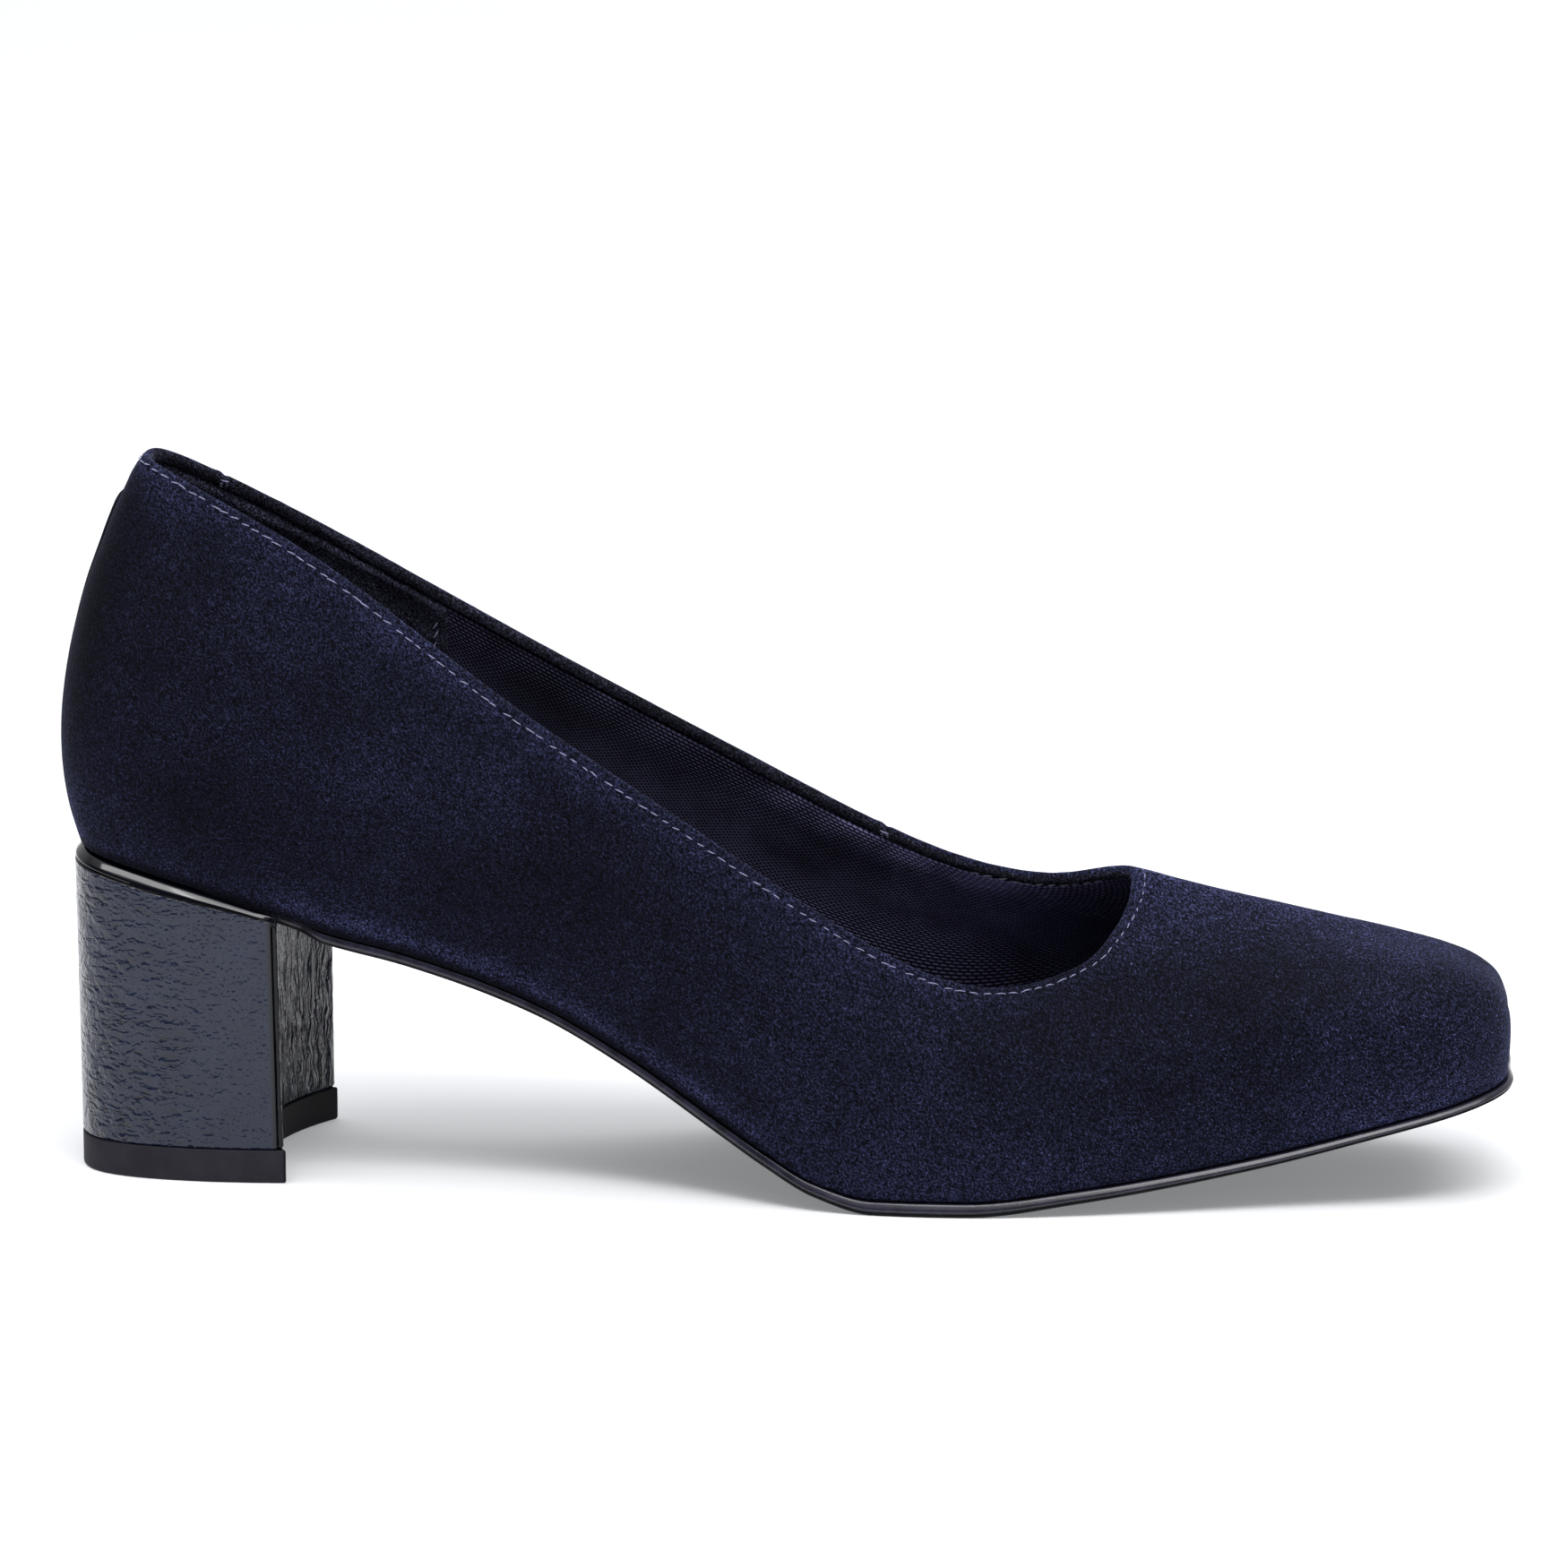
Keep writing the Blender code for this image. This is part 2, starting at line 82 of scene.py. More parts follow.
MEDIAL = (
    Section(8.9, 18.9, 5.2, 13.5, 0.48, 3.4, -0.5, 19.0, 8.5, 118.6),
    Section(21.5, 24.3, 5.3, 13.0, 0.46, 4.2, 0.0, 31.0, 15.0, 111.9),
    Section(45.0, 23.8, 5.0, 13.0, 0.45, 4.0, 0.0, 50.0, 20.5, 100.8),
    Section(78.0, 21.5, 4.0, 13.0, 0.45, 3.5, 0.0, 80.0, 26.5, 83.0),
    Section(110.0, 27.0, 3.0, 12.0, 0.45, 3.0, 0.0, 112.0, 27.0, 66.4),
    Section(156.0, 38.0, 2.2, 10.0, 0.45, 3.5, 0.0, 146.0, 26.0, 50.1),
    Section(190.0, 34.0, 2.0, 9.0, 0.30, 4.8, 0.0, 162.5, 21.5, 46.8),
    Section(219.0, 28.5, 1.8, 8.0, 0.16, 5.3, 0.0, 171.5, 17.0, 47.9),
    Section(236.0, 23.6, 1.7, 8.0, 0.10, 5.7, 0.2, 176.9, 13.0, 49.5),
    Section(242.0, 17.4, 1.5, 8.0, 0.07, 6.9, 0.4, 179.8, 9.5, 50.2),
)

# The sole from the seat to the toe: underside, thickness, and how far its edge stands out.
SoleRow = namedtuple("SoleRow", "x under thick proud")
SOLE = (
    SoleRow(-5.0, 55.8, 1.6, -SEAT_SOLE_INSET),
    SoleRow(24.0, 49.0, 1.6, -SEAT_SOLE_INSET),
    SoleRow(43.5, 42.8, 1.6, -SEAT_SOLE_INSET),
    SoleRow(48.5, 40.9, 1.6, 0.2),
    SoleRow(62.0, 37.3, 1.6, 0.2),
    SoleRow(84.0, 29.6, 1.6, 0.3),
    SoleRow(99.0, 21.8, 1.7, 0.4),
    SoleRow(115.0, 11.8, 1.8, 0.6),
    SoleRow(123.0, 6.8, 1.9, 0.8),
    SoleRow(131.0, 2.5, 2.0, 0.9),
    SoleRow(141.0, 0.0, 2.2, 1.0),
    SoleRow(156.0, 0.0, 2.2, 1.0),
    SoleRow(174.0, 2.1, 2.0, 1.0),
    SoleRow(203.0, 7.1, 1.7, 1.1),
    SoleRow(232.0, 14.4, 1.5, 1.2),
    SoleRow(250.0, 19.0, 1.5, 1.2),
)

# The sole's edge from top to bottom: inset from the edge, and share of the thickness.
EdgeRow = namedtuple("EdgeRow", "inset depth")
SOLE_EDGE = (
    EdgeRow(1.60, 0.00),
    EdgeRow(0.66, 0.00),
    EdgeRow(0.56, 0.03),
    EdgeRow(0.44, 0.11),
    EdgeRow(0.30, 0.22),
    EdgeRow(0.16, 0.33),
    EdgeRow(0.05, 0.43),
    EdgeRow(0.00, 0.51),
    EdgeRow(0.03, 0.59),
    EdgeRow(0.18, 0.66),
    EdgeRow(0.42, 0.70),
    EdgeRow(0.42, 0.73),
    EdgeRow(0.25, 0.78),
    EdgeRow(0.22, 0.87),
    EdgeRow(0.35, 0.96),
    EdgeRow(0.60, 1.00),
    EdgeRow(1.40, 1.00),
)
BEAD_ROWS = 11
INSOLE_EDGE = (
    EdgeRow(1.60, 1.00),
    EdgeRow(0.70, 1.00),
    EdgeRow(0.30, 0.94),
    EdgeRow(0.05, 0.80),
    EdgeRow(0.00, 0.60),
    EdgeRow(0.00, 0.14),
    EdgeRow(-1.40, 0.08),
    EdgeRow(-1.40, 0.00),
)

# The heel. Its rolled rim fades out over a share of the seat at both ends and is slimmer in front.
HEEL_FRONT_LATERAL = 41.3
HEEL_FRONT_MEDIAL = 42.4
BREAST_DEPTH = 7.0
HEEL_NARROWING = 0.06
HEEL_BACK_STEP = 0.4
FRONT_EDGE_RADIUS = 1.9
FRONT_SEAM_DEPTH = 0.45
RIM_FADE = 0.035
RIM_SLIM_FROM = 18.0
RIM_SLIM = 0.55

# The rim from the crest down: drop below the seat and inset from the side.
RimRow = namedtuple("RimRow", "drop inset")
HEEL_RIM = (
    RimRow(0.05, 1.90),
    RimRow(0.08, 1.66),
    RimRow(0.15, 1.48),
    RimRow(0.27, 1.30),
    RimRow(0.40, 1.14),
    RimRow(0.52, 1.02),
    RimRow(0.80, 0.79),
    RimRow(1.10, 0.55),
    RimRow(1.40, 0.31),
    RimRow(1.58, 0.185),
    RimRow(1.72, 0.125),
    RimRow(1.90, 0.085),
    RimRow(2.08, 0.045),
    RimRow(2.16, 0.12),
    RimRow(2.22, 0.36),
    RimRow(2.30, 0.42),
    RimRow(2.42, 0.42),
    RimRow(2.50, 0.22),
    RimRow(2.60, 0.08),
    RimRow(2.80, 0.00),
)

# Patches of lighter and darker suede, partly where the pile lies differently and partly painted
# light and shade, such as painted shade at the back and a painted sheen along the toe's ridge:
# middle of the patch on the side of the shoe, half length, half height, and how many times the
# tone doubles there. From the back to the toe.
TonePatch = namedtuple("TonePatch", "x z half_length half_height light")
NAP_AND_PAINTED_LIGHT_PATCHES = (
    TonePatch(3.0, 102.0, 8.0, 24.0, -2.40),
    TonePatch(5.0, 62.0, 6.0, 5.0, 0.50),
    TonePatch(5.0, 95.0, 5.0, 22.0, -0.80),
    TonePatch(9.0, 68.0, 9.0, 8.0, 0.25),
    TonePatch(13.0, 111.0, 8.0, 12.0, -0.90),
    TonePatch(19.0, 119.0, 9.0, 3.0, 0.80),
    TonePatch(22.0, 114.0, 10.0, 6.0, 0.25),
    TonePatch(23.0, 90.0, 14.0, 14.0, -0.80),
    TonePatch(27.0, 67.0, 13.0, 9.0, -0.85),
    TonePatch(28.0, 108.0, 10.0, 8.0, -0.30),
    TonePatch(32.0, 104.0, 10.0, 8.0, -0.25),
    TonePatch(39.0, 98.0, 9.0, 7.0, 0.25),
    TonePatch(43.0, 60.0, 15.0, 7.0, -0.65),
    TonePatch(55.0, 84.0, 14.0, 8.0, -0.40),
    TonePatch(64.0, 71.0, 15.0, 8.0, 0.30),
    TonePatch(69.0, 90.0, 14.0, 10.0, 0.45),
    TonePatch(76.0, 51.0, 16.0, 8.0, -0.55),
    TonePatch(90.0, 43.0, 14.0, 9.0, -0.40),
    TonePatch(96.0, 57.0, 13.0, 10.0, -0.75),
    TonePatch(100.0, 28.0, 14.0, 7.0, -0.40),
    TonePatch(110.0, 43.0, 13.0, 9.0, -0.50),
    TonePatch(127.0, 39.0, 13.0, 8.0, 0.10),
    TonePatch(132.0, 23.0, 7.0, 6.0, 0.25),
    TonePatch(150.0, 8.0, 24.0, 6.0, 0.45),
    TonePatch(165.0, 25.0, 13.0, 8.0, -0.25),
    TonePatch(172.0, 38.0, 12.0, 6.0, -0.70),
    TonePatch(178.0, 30.0, 16.0, 9.0, -0.65),
    TonePatch(188.0, 51.0, 12.0, 3.0, 0.50),
    TonePatch(190.0, 25.0, 12.0, 8.0, -0.25),
    TonePatch(194.0, 18.0, 14.0, 7.0, -0.20),
    TonePatch(196.0, 49.0, 24.0, 5.0, 0.60),
    TonePatch(198.0, 35.0, 12.0, 8.0, -0.50),
    TonePatch(205.0, 29.0, 12.0, 8.0, -0.25),
    TonePatch(212.0, 11.0, 14.0, 6.0, 0.35),
    TonePatch(212.0, 36.0, 13.0, 6.0, -0.50),
    TonePatch(213.0, 45.0, 24.0, 5.0, 1.05),
    TonePatch(224.0, 20.0, 20.0, 10.0, 0.25),
    TonePatch(228.0, 42.0, 14.0, 3.0, 0.40),
    TonePatch(232.0, 14.0, 14.0, 6.0, 0.80),
    TonePatch(232.0, 24.0, 14.0, 14.0, 0.40),
)

# The same columns for the lining's tone, all of it painted light and shade: painted shade by the
# grip, and painted light below the band and in front.
LINING_PAINTED_LIGHT = (
    TonePatch(78.0, 84.0, 14.0, 12.0, -0.90),
    TonePatch(80.0, 81.0, 9.0, 2.5, 0.90),
    TonePatch(90.0, 74.0, 24.0, 16.0, -1.35),
    TonePatch(92.0, 74.5, 9.0, 2.5, 1.10),
    TonePatch(103.0, 69.0, 9.0, 2.5, 0.90),
    TonePatch(108.0, 58.0, 16.0, 8.0, -0.60),
    TonePatch(126.0, 58.0, 9.0, 2.5, 1.80),
    TonePatch(129.0, 47.0, 14.0, 6.0, -1.10),
    TonePatch(135.0, 53.0, 9.0, 2.5, 2.40),
    TonePatch(145.0, 48.5, 10.0, 2.8, 2.70),
    TonePatch(150.0, 46.0, 22.0, 18.0, 1.10),
    TonePatch(157.0, 44.5, 11.0, 3.0, 1.80),
    TonePatch(158.0, 36.0, 11.0, 8.0, 0.70),
    TonePatch(176.0, 32.0, 16.0, 18.0, 0.80),
)

# Direction in which the suede's pile is brushed, down and towards the toe.
NAP_WAY = (0.66, -0.30, -0.689)

# Waves of a surface in soft noise: height, length round the shoe, width across it and seed.
Wave = namedtuple("Wave", "height length width seed")
LASTING_WAVES = (Wave(0.10, 26.0, 17.0, 3), Wave(0.05, 9.0, 8.0, 4))
TOPLINE_RIPPLE = (Wave(0.05, 1.9, 1.5, 5),)
BAND_WAVES = (Wave(0.16, 6.0, 3.0, 8), Wave(0.10, 2.1, 2.0, 9))
LINING_WAVES = (Wave(0.16, 12.0, 9.0, 11),)
LEVEL_SWELLS = (Wave(0.030, 4.5, 1.9, 41), Wave(0.020, 2.4, 1.1, 42))
UPRIGHT_SWELLS = (Wave(0.07, 1.5, 5.0, 44), Wave(0.04, 1.1, 2.2, 45))

# The strip over the back seam, between two shares of the wall's way up.
STRIP_HALF_WIDTH = 6.0
STRIP_THICK = 0.6
STRIP_LOW = 0.035
STRIP_HIGH = 0.89

# Stitches: distance below the topline, how much less of it at the back, pitch, length, half sizes,
# and how far they sink into the outer face or stand off the band.
STITCH_DOWN = 2.15
STITCH_BACK_RISE = 1.05
STITCH_PITCH = 2.25
STITCH_LENGTH = 2.05
STITCH_HALF_WIDTH = 0.12
STITCH_HALF_HEIGHT = 0.14
STITCH_SUNK = 0.14
STITCH_PROUD = 0.02

# Where the ends of the topline band's two lengths meet, as shares of the way round.
BAND_JOINS = (0.7155, 0.9485)

# Stretch of the band, at the throat's medial side, where its own sewing comes through.
BAND_SEWN = (0.555, 0.67)

# Share of the way round, from the back, that the heel grip lines on each side.
GRIP_REACH = 0.131

# The camera's angle to the shoe, its distance and reach in metres, its target, and its lens and
# sensor in millimetres.
CAMERA_YAW = 5.5
CAMERA_PITCH = 10.5
CAMERA_DISTANCE = 1.2
CAMERA_REACH = 100.0
CAMERA_TARGET = np.array([122.74, 0.0, 64.76])
CAMERA_LENS = 164.49
CAMERA_SENSOR = 36.0

# Soft boxes of the studio, in metres and watts.
SoftBox = namedtuple("SoftBox", "name place aim width depth power colour")
WHITE = (1.0, 1.0, 1.0)
SOFT_BOXES = (
    SoftBox("main", (0.12, -0.78, 1.45), (0.05, 0.0, 0.05), 0.75, 0.60, 9.0, WHITE),
    SoftBox("strip_left", (-0.72, -0.43, 1.45), (-0.56, -0.12, 0.05), 1.3, 0.26, 7.0, WHITE),
    SoftBox("strip_right", (0.93, -0.40, 1.45), (0.75, -0.16, 0.05), 1.2, 0.50, 9.0, WHITE),
    SoftBox("front_right", (0.9, -1.2, 0.7), (0.08, 0.0, 0.04), 0.6, 0.6, 1.2, (1.0, 0.99, 0.98)),
    SoftBox("backdrop", (0.0, 3.0, 3.0), (0.0, 3.0, 0.0), 5.0, 3.0, 42.0, WHITE),
)

# Linear colours of the finishes and the sky, each from its darkest tone to its lightest.
SUEDE_TONES = ((0.0008, 0.0009, 0.0017), (0.077, 0.087, 0.216))
# The band's tones: a greyer copy of the suede, painted shade and painted back-light on its inner fold.
BAND_PAINTED_SHADE_TONES = ((0.0010, 0.0010, 0.0015), (0.108, 0.110, 0.185))
GRIP_TONES = ((0.0015, 0.0016, 0.0028), (0.230, 0.238, 0.395))
TWILL_TONES = ((0.0008, 0.0008, 0.0016), (0.500, 0.480, 0.900))
SOCK_TONES = ((0.010, 0.012, 0.026), (0.018, 0.021, 0.042))
# The sole bead's lavender tone paints a bluish reflection on the black edge.
BEAD_PAINTED_REFLECTION_TONES = ((0.007, 0.007, 0.013), (0.024, 0.022, 0.043))
TREAD_TONES = ((0.003, 0.003, 0.004), (0.010, 0.010, 0.012))
PATENT_TONES = ((0.0012, 0.0016, 0.0040), (0.012, 0.018, 0.042))
# The breast's tones: a darker copy of the patent's, painted shade.
BREAST_PAINTED_SHADE_TONES = ((0.0012, 0.0016, 0.0040), (0.009, 0.011, 0.022))
LIFT_TONES = ((0.004, 0.004, 0.005), (0.027, 0.025, 0.034))
SKY_TONES = ((0.07, 0.07, 0.08), (1.10, 1.11, 1.14))
PALE_THREAD = (0.26, 0.26, 0.44)
DEEP_THREAD = (0.090, 0.090, 0.150)


def to_row(points):
    """Millimetres on the last to metres in the row's frame."""
    return (np.asarray(points) - ORIGIN) * MM


def even_curve(xs, ys, at):
    """Cubic through rows that never overshoots: each slope is the harmonic mean of its two chords."""
    chord = np.diff(ys) / np.diff(xs)
    before, after = chord[:-1], chord[1:]
    same = before * after > 0.0
    total = np.where(same, before + after, 1.0)
    inner = np.where(same, 2.0 * before * after / total, 0.0)
    slope = np.concatenate([chord[:1], inner, chord[-1:]])
    cell = np.clip(np.searchsorted(xs, at) - 1, 0, len(xs) - 2)
    span = xs[cell + 1] - xs[cell]
    t = (at - xs[cell]) / span
    rise = ys[cell] * (1 + 2 * t) * (1 - t) ** 2 + ys[cell + 1] * t * t * (3 - 2 * t)
    return rise + span * (slope[cell] * t * (1 - t) ** 2 - slope[cell + 1] * t * t * (1 - t))


def closed_curve(knots, values, at):
    """Closed cubic through rows whose curvature runs on evenly from the last row to the first."""
    span = np.diff(np.append(knots, knots[0] + 1.0))[:, None]
    span_before = np.roll(span, 1, axis=0)
    chord = (np.roll(values, -1, axis=0) - values) / span
    count = len(knots)
    rows = np.arange(count)
    system = np.zeros((count, count))
    system[rows, rows - 1] = span[:, 0]
    system[rows, rows] = 2.0 * (span + span_before)[:, 0]
    system[rows, (rows + 1) % count] = span_before[:, 0]
    slope = np.linalg.solve(system, 3.0 * (span * np.roll(chord, 1, axis=0) + span_before * chord))
    at = np.asarray(at) % 1.0
    cell = np.searchsorted(knots, at, side="right") - 1
    t = ((at - knots[cell]) / span[cell, 0])[:, None]
    after = (cell + 1) % count
    rise = values[cell] * (1 + 2 * t) * (1 - t) ** 2 + values[after] * t * t * (3 - 2 * t)
    return rise + span[cell] * (slope[cell] * t * (1 - t) ** 2 - slope[after] * t * t * (1 - t))


def half_knots(rows):
    """Share of the feather's length at each row of one side, from the back of the seat to the toe."""
    plan = np.array([(row.feather_x, row.feather_y) for row in rows])
    length = np.concatenate([[0.0], np.cumsum(np.linalg.norm(np.diff(plan, axis=0), axis=1))])
    return 0.5 * length / length[-1]


ROUND = np.array((BACK,) + LATERAL + (TOE,) + MEDIAL[::-1])
KNOTS = np.concatenate(
    [
        half_knots((BACK,) + LATERAL + (TOE,)),
        1.0 - half_knots((BACK,) + MEDIAL + (TOE,))[-2:0:-1],
    ]
)
SOLE_X, SOLE_UNDER, SOLE_THICK, SOLE_PROUD = np.array(SOLE).T


def sole_height(x, share):
    """Height at a share of the sole's thickness above its underside."""
    return even_curve(SOLE_X, SOLE_UNDER, x) + even_curve(SOLE_X, SOLE_THICK, x) * share


def feather_height(x):
    """The wall stands one gap above the sole."""
    return sole_height(x, 1.0) + GAP


def feather(u):
    """Plan of the feather at shares u of the way round, with its outward direction."""
    step = 0.0005
    plan = closed_curve(KNOTS, ROUND[:, :2], u)
    along = closed_curve(KNOTS, ROUND[:, :2], u + step) - closed_curve(KNOTS, ROUND[:, :2], u - step)
    out = np.stack([along[:, 1], -along[:, 0]], axis=1)
    return plan, out / np.linalg.norm(out, axis=1)[:, None]


def column_weights(v):
    """Weights of the six control points of a wall's cubic spline, clamped, with two inner knots."""
    knots = np.array([0, 0, 0, 0, 1, 2, 3, 3, 3, 3]) / 3.0
    v = np.clip(v, 0.0, 1.0 - 1e-9)[..., None]
    weight = ((knots[:-1] <= v) & (v < knots[1:])).astype(float)
    for degree in (1, 2, 3):
        start, end = knots[:-degree], knots[degree:]
        span = end - start
        share = np.where(span > 0.0, (v - start) / np.where(span > 0.0, span, 1.0), 0.0)
        left = share[..., :-1] * weight[..., :-1]
        right = np.where(span[1:] > 0.0, 1.0 - share[..., 1:], 0.0) * weight[..., 1:]
        weight = left + right
    return weight


def wall_points(u, v):
    """Outer face of the upper at shares u of the way round and, in each column, heights v.

    Each column is a spline from the feather over the bulge and the shoulder to the topline, and
    the sizes of its section are the closed curves through the rows of the tables.
    """
    size = Section(*closed_curve(KNOTS, ROUND, u).T)
    plan, out = feather(u)
    low = np.column_stack([plan, feather_height(plan[:, 0])])
    out = np.column_stack([out, np.zeros(len(u))])
    up = np.array([0.0, 0.0, 1.0])
    wall = low + out * size.bulge[:, None] + up * size.rise[:, None]
    top = np.column_stack([size.top_x, size.top_y, size.top_z])
    run = top - wall
    lean = run / np.linalg.norm(run, axis=1)[:, None]
    swell = out + up
    swell = swell - lean * np.sum(swell * lean, axis=1)[:, None]
    swell /= np.linalg.norm(swell, axis=1)[:, None]
    shoulder = wall + run * size.shoulder_at[:, None] + swell * size.shoulder_up[:, None]
    third = (top - shoulder) / 3.0
    hollow = swell * size.sag[:, None]
    control = np.stack([low, wall, shoulder, shoulder + third, top - third - hollow, top])
    return np.einsum("uvk,kuc->uvc", column_weights(v), control)


def unit(vectors):
    """Vectors scaled to length one."""
    return vectors / np.linalg.norm(vectors, axis=-1, keepdims=True)


def wall_frame(u, v):
    """Points of the outer face with the unit outward normal and the unit way round at each."""
    step = 0.002
    high, low = np.minimum(v + step, 1.0), np.maximum(v - step, 0.0)
    across = unit(wall_points(u + step, v) - wall_points(u - step, v))
    rising = wall_points(u, high) - wall_points(u, low)
    return wall_points(u, v), unit(np.cross(across, rising)), across


def column_speed(u, v):
    """Length of wall that each column passes for one unit of v, near the height v."""
    step = 0.004
    ends = wall_points(u, np.broadcast_to([max(v - step, 0.0), min(v + step, 1.0)], (len(u), 2)))
    width = min(v + step, 1.0) - max(v - step, 0.0)
    return np.linalg.norm(ends[:, 1] - ends[:, 0], axis=1) / width


def below_top(u, down):
    """Heights v that lie the distance down below the topline, column by column."""
    return 1.0 - np.broadcast_to(down, (len(u), np.shape(down)[-1])) / column_speed(u, 1.0)[:, None]


def stitch_depth(u):
    """Distance of the stitch line below the topline, which shrinks towards the back of the shoe."""
    from_back = np.minimum(u % 1.0, 1.0 - u % 1.0)
    return STITCH_DOWN - STITCH_BACK_RISE * smooth_step(0.12, 0.02, from_back)


def topline_length(u):
    """Length along the topline from the back, at rising shares u."""
    top = wall_points(u, np.ones((len(u), 1)))[:, 0]
    return np.concatenate([[0.0], np.cumsum(np.linalg.norm(np.diff(top, axis=0), axis=1))])


def smooth_step(low, high, at):
    """Even rise from 0 at low to 1 at high."""
    t = np.clip((at - low) / (high - low), 0.0, 1.0)
    return t * t * (3.0 - 2.0 * t)


def bell(at, middle, width):
    """Rounded bump of height one."""
    return np.exp(-(((at - middle) / width) ** 2))


def soft_noise(x, y, seed):
    """Smooth noise from -1 to 1: random heights on a unit lattice joined by smooth steps."""
    size = 97
    table = np.random.default_rng(seed).uniform(-1.0, 1.0, (size, size))
    column, row = np.floor(x).astype(int), np.floor(y).astype(int)
    s, t = smooth_step(0.0, 1.0, x - column), smooth_step(0.0, 1.0, y - row)
    here, there = column % size, (column + 1) % size
    low = table[here, row % size] * (1 - s) + table[there, row % size] * s
    high = table[here, (row + 1) % size] * (1 - s) + table[there, (row + 1) % size] * s
    return low * (1 - t) + high * t


def wave_form(waves, along, across):
    """Sum of the waves of a table, each a soft noise drawn out to its length and width."""
    return sum(w.height * soft_noise(along / w.length, across / w.width, w.seed) for w in waves)


def grid_faces(columns, rows, closed_columns, closed_rows):
    """Quads of a grid held column by column, running on round where it is closed."""
    a = np.arange(columns if closed_columns else columns - 1)[:, None]
    b = np.arange(rows if closed_rows else rows - 1)[None, :]
    right, above = (a + 1) % columns, (b + 1) % rows
    corners = (a * rows + b, right * rows + b, right * rows + above, a * rows + above)
    return np.stack(np.broadcast_arrays(*corners), axis=-1).reshape(-1, 4)


def ladder_faces(count, start):
    """Quads across a ring, from point k to point count - k, with a triangle at each end."""
    k = np.arange(1, count // 2 - 1)
    quads = np.stack([k, k + 1, count - k - 1, count - k], axis=1) + start
    ends = np.array([[0, 1, count - 1], [count // 2 - 1, count // 2, count // 2 + 1]]) + start
    return quads, ends


def add_piece(name, points, face_sets, material, slot, replaced=()):
    """Smooth mesh piece from points in millimetres, riding on the shoe's one body."""
    mesh = bpy.data.meshes.new(name)
    corners = np.concatenate([faces.ravel() for faces in face_sets])
    sides = np.concatenate([np.full(len(faces), faces.shape[1]) for faces in face_sets])
    mesh.vertices.add(len(points))
    mesh.vertices.foreach_set("co", to_row(points).astype(np.float32).ravel())
    mesh.loops.add(len(corners))
    mesh.loops.foreach_set("vertex_index", corners.astype(np.int32))
    mesh.polygons.add(len(sides))
    mesh.polygons.foreach_set("loop_start", (np.cumsum(sides) - sides).astype(np.int32))
    mesh.update(calc_edges=True)
    mesh.materials.append(material)
    mesh.shade_smooth()
    piece = bpy.data.objects.new(name, mesh)
    bpy.context.scene.collection.objects.link(piece)
    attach(piece, "root")
    if replaced:
        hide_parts(*replaced)
    return piece


def add_map(piece, name, values):
    """UV map in millimetres, with one pair of values for each corner of each face."""
    layer = piece.data.uv_layers.new(name=name)
    layer.data.foreach_set("uv", np.asarray(values, np.float32).ravel())


def add_shares(piece, name, values):
    """Named value at each point of a piece, for its material to read."""
    layer = piece.data.attributes.new(name, "FLOAT", "POINT")
    layer.data.foreach_set("value", np.asarray(values, np.float32).ravel())


def turn_outwards(piece, sharp_degrees):
    """Faces of a closed piece turned outwards, with edges sharper than an angle kept crisp."""
    work = bmesh.new()
    work.from_mesh(piece.data)
    bmesh.ops.recalc_face_normals(work, faces=work.faces)
    work.to_mesh(piece.data)
    work.free()
    piece.data.set_sharp_from_angle(angle=np.radians(sharp_degrees))


def add_node(tree, kind, inputs=None, **settings):
    """Shader node with its settings, and each input linked to a socket or set to a value."""
    node = tree.nodes.new("ShaderNode" + kind)
    for key, value in settings.items():
        setattr(node, key, value)
    for key, value in (inputs or {}).items():
        if isinstance(value, bpy.types.NodeSocket):
            tree.links.new(value, node.inputs[key])
        else:
            node.inputs[key].default_value = value
    return node


def new_finish(name, sockets):
    """Material with its shader's constant sockets set; returns it with its tree and shader."""
    material = bpy.data.materials.new(name)
    material.use_nodes = True
    shader = material.node_tree.nodes["Principled BSDF"]
    for key, value in sockets.items():
        shader.inputs[key].default_value = value
    return material, material.node_tree, shader


def millimetres(tree, stretch=(1.0, 1.0, 1.0)):
    """Object coordinates in millimetres, divided by a stretch along each axis."""
    place = add_node(tree, "TexCoord")
    scale = [1.0 / (MM * share) for share in stretch]
    return add_node(tree, "Mapping", {"Vector": place.outputs["Object"], "Scale": scale}).outputs[0]


def noise(tree, place, size, detail=2.0, rough=0.5, bend=0.0):
    """Noise whose lumps are about size millimetres across."""
    inputs = {"Vector": place, "Scale": 1.0 / size, "Detail": detail, "Roughness": rough, "Distortion": bend}
    return add_node(tree, "TexNoise", inputs).outputs["Fac"]


def spread(tree, value, low, high, to_low=0.0, to_high=1.0):
    """Value between low and high spread between two new ends, held inside them."""
    inputs = {"Value": value, "From Min": low, "From Max": high, "To Min": to_low, "To Max": to_high}
    return add_node(tree, "MapRange", inputs).outputs[0]


def combine(tree, operation, a, b):
    """Two values put together by one step of arithmetic."""
    node = add_node(tree, "Math", operation=operation)
    for socket, value in zip(node.inputs, (a, b)):
        if isinstance(value, bpy.types.NodeSocket):
            tree.links.new(value, socket)
        else:
            socket.default_value = value
    return node.outputs[0]


def tint(tree, share, dark, light):
    """Colour between dark and light by a share."""
    node = add_node(tree, "Mix", data_type="RGBA")
    tree.links.new(share, node.inputs[0])
    node.inputs[6].default_value = (*dark, 1.0)
    node.inputs[7].default_value = (*light, 1.0)
    return node.outputs[2]


def relief(tree, shader, height, strength, distance_mm):
    """Bump on the shader from a height between 0 and 1."""
    inputs = {"Height": height, "Strength": strength, "Distance": distance_mm * MM}
    bump = add_node(tree, "Bump", inputs)
    tree.links.new(bump.outputs[0], shader.inputs["Normal"])


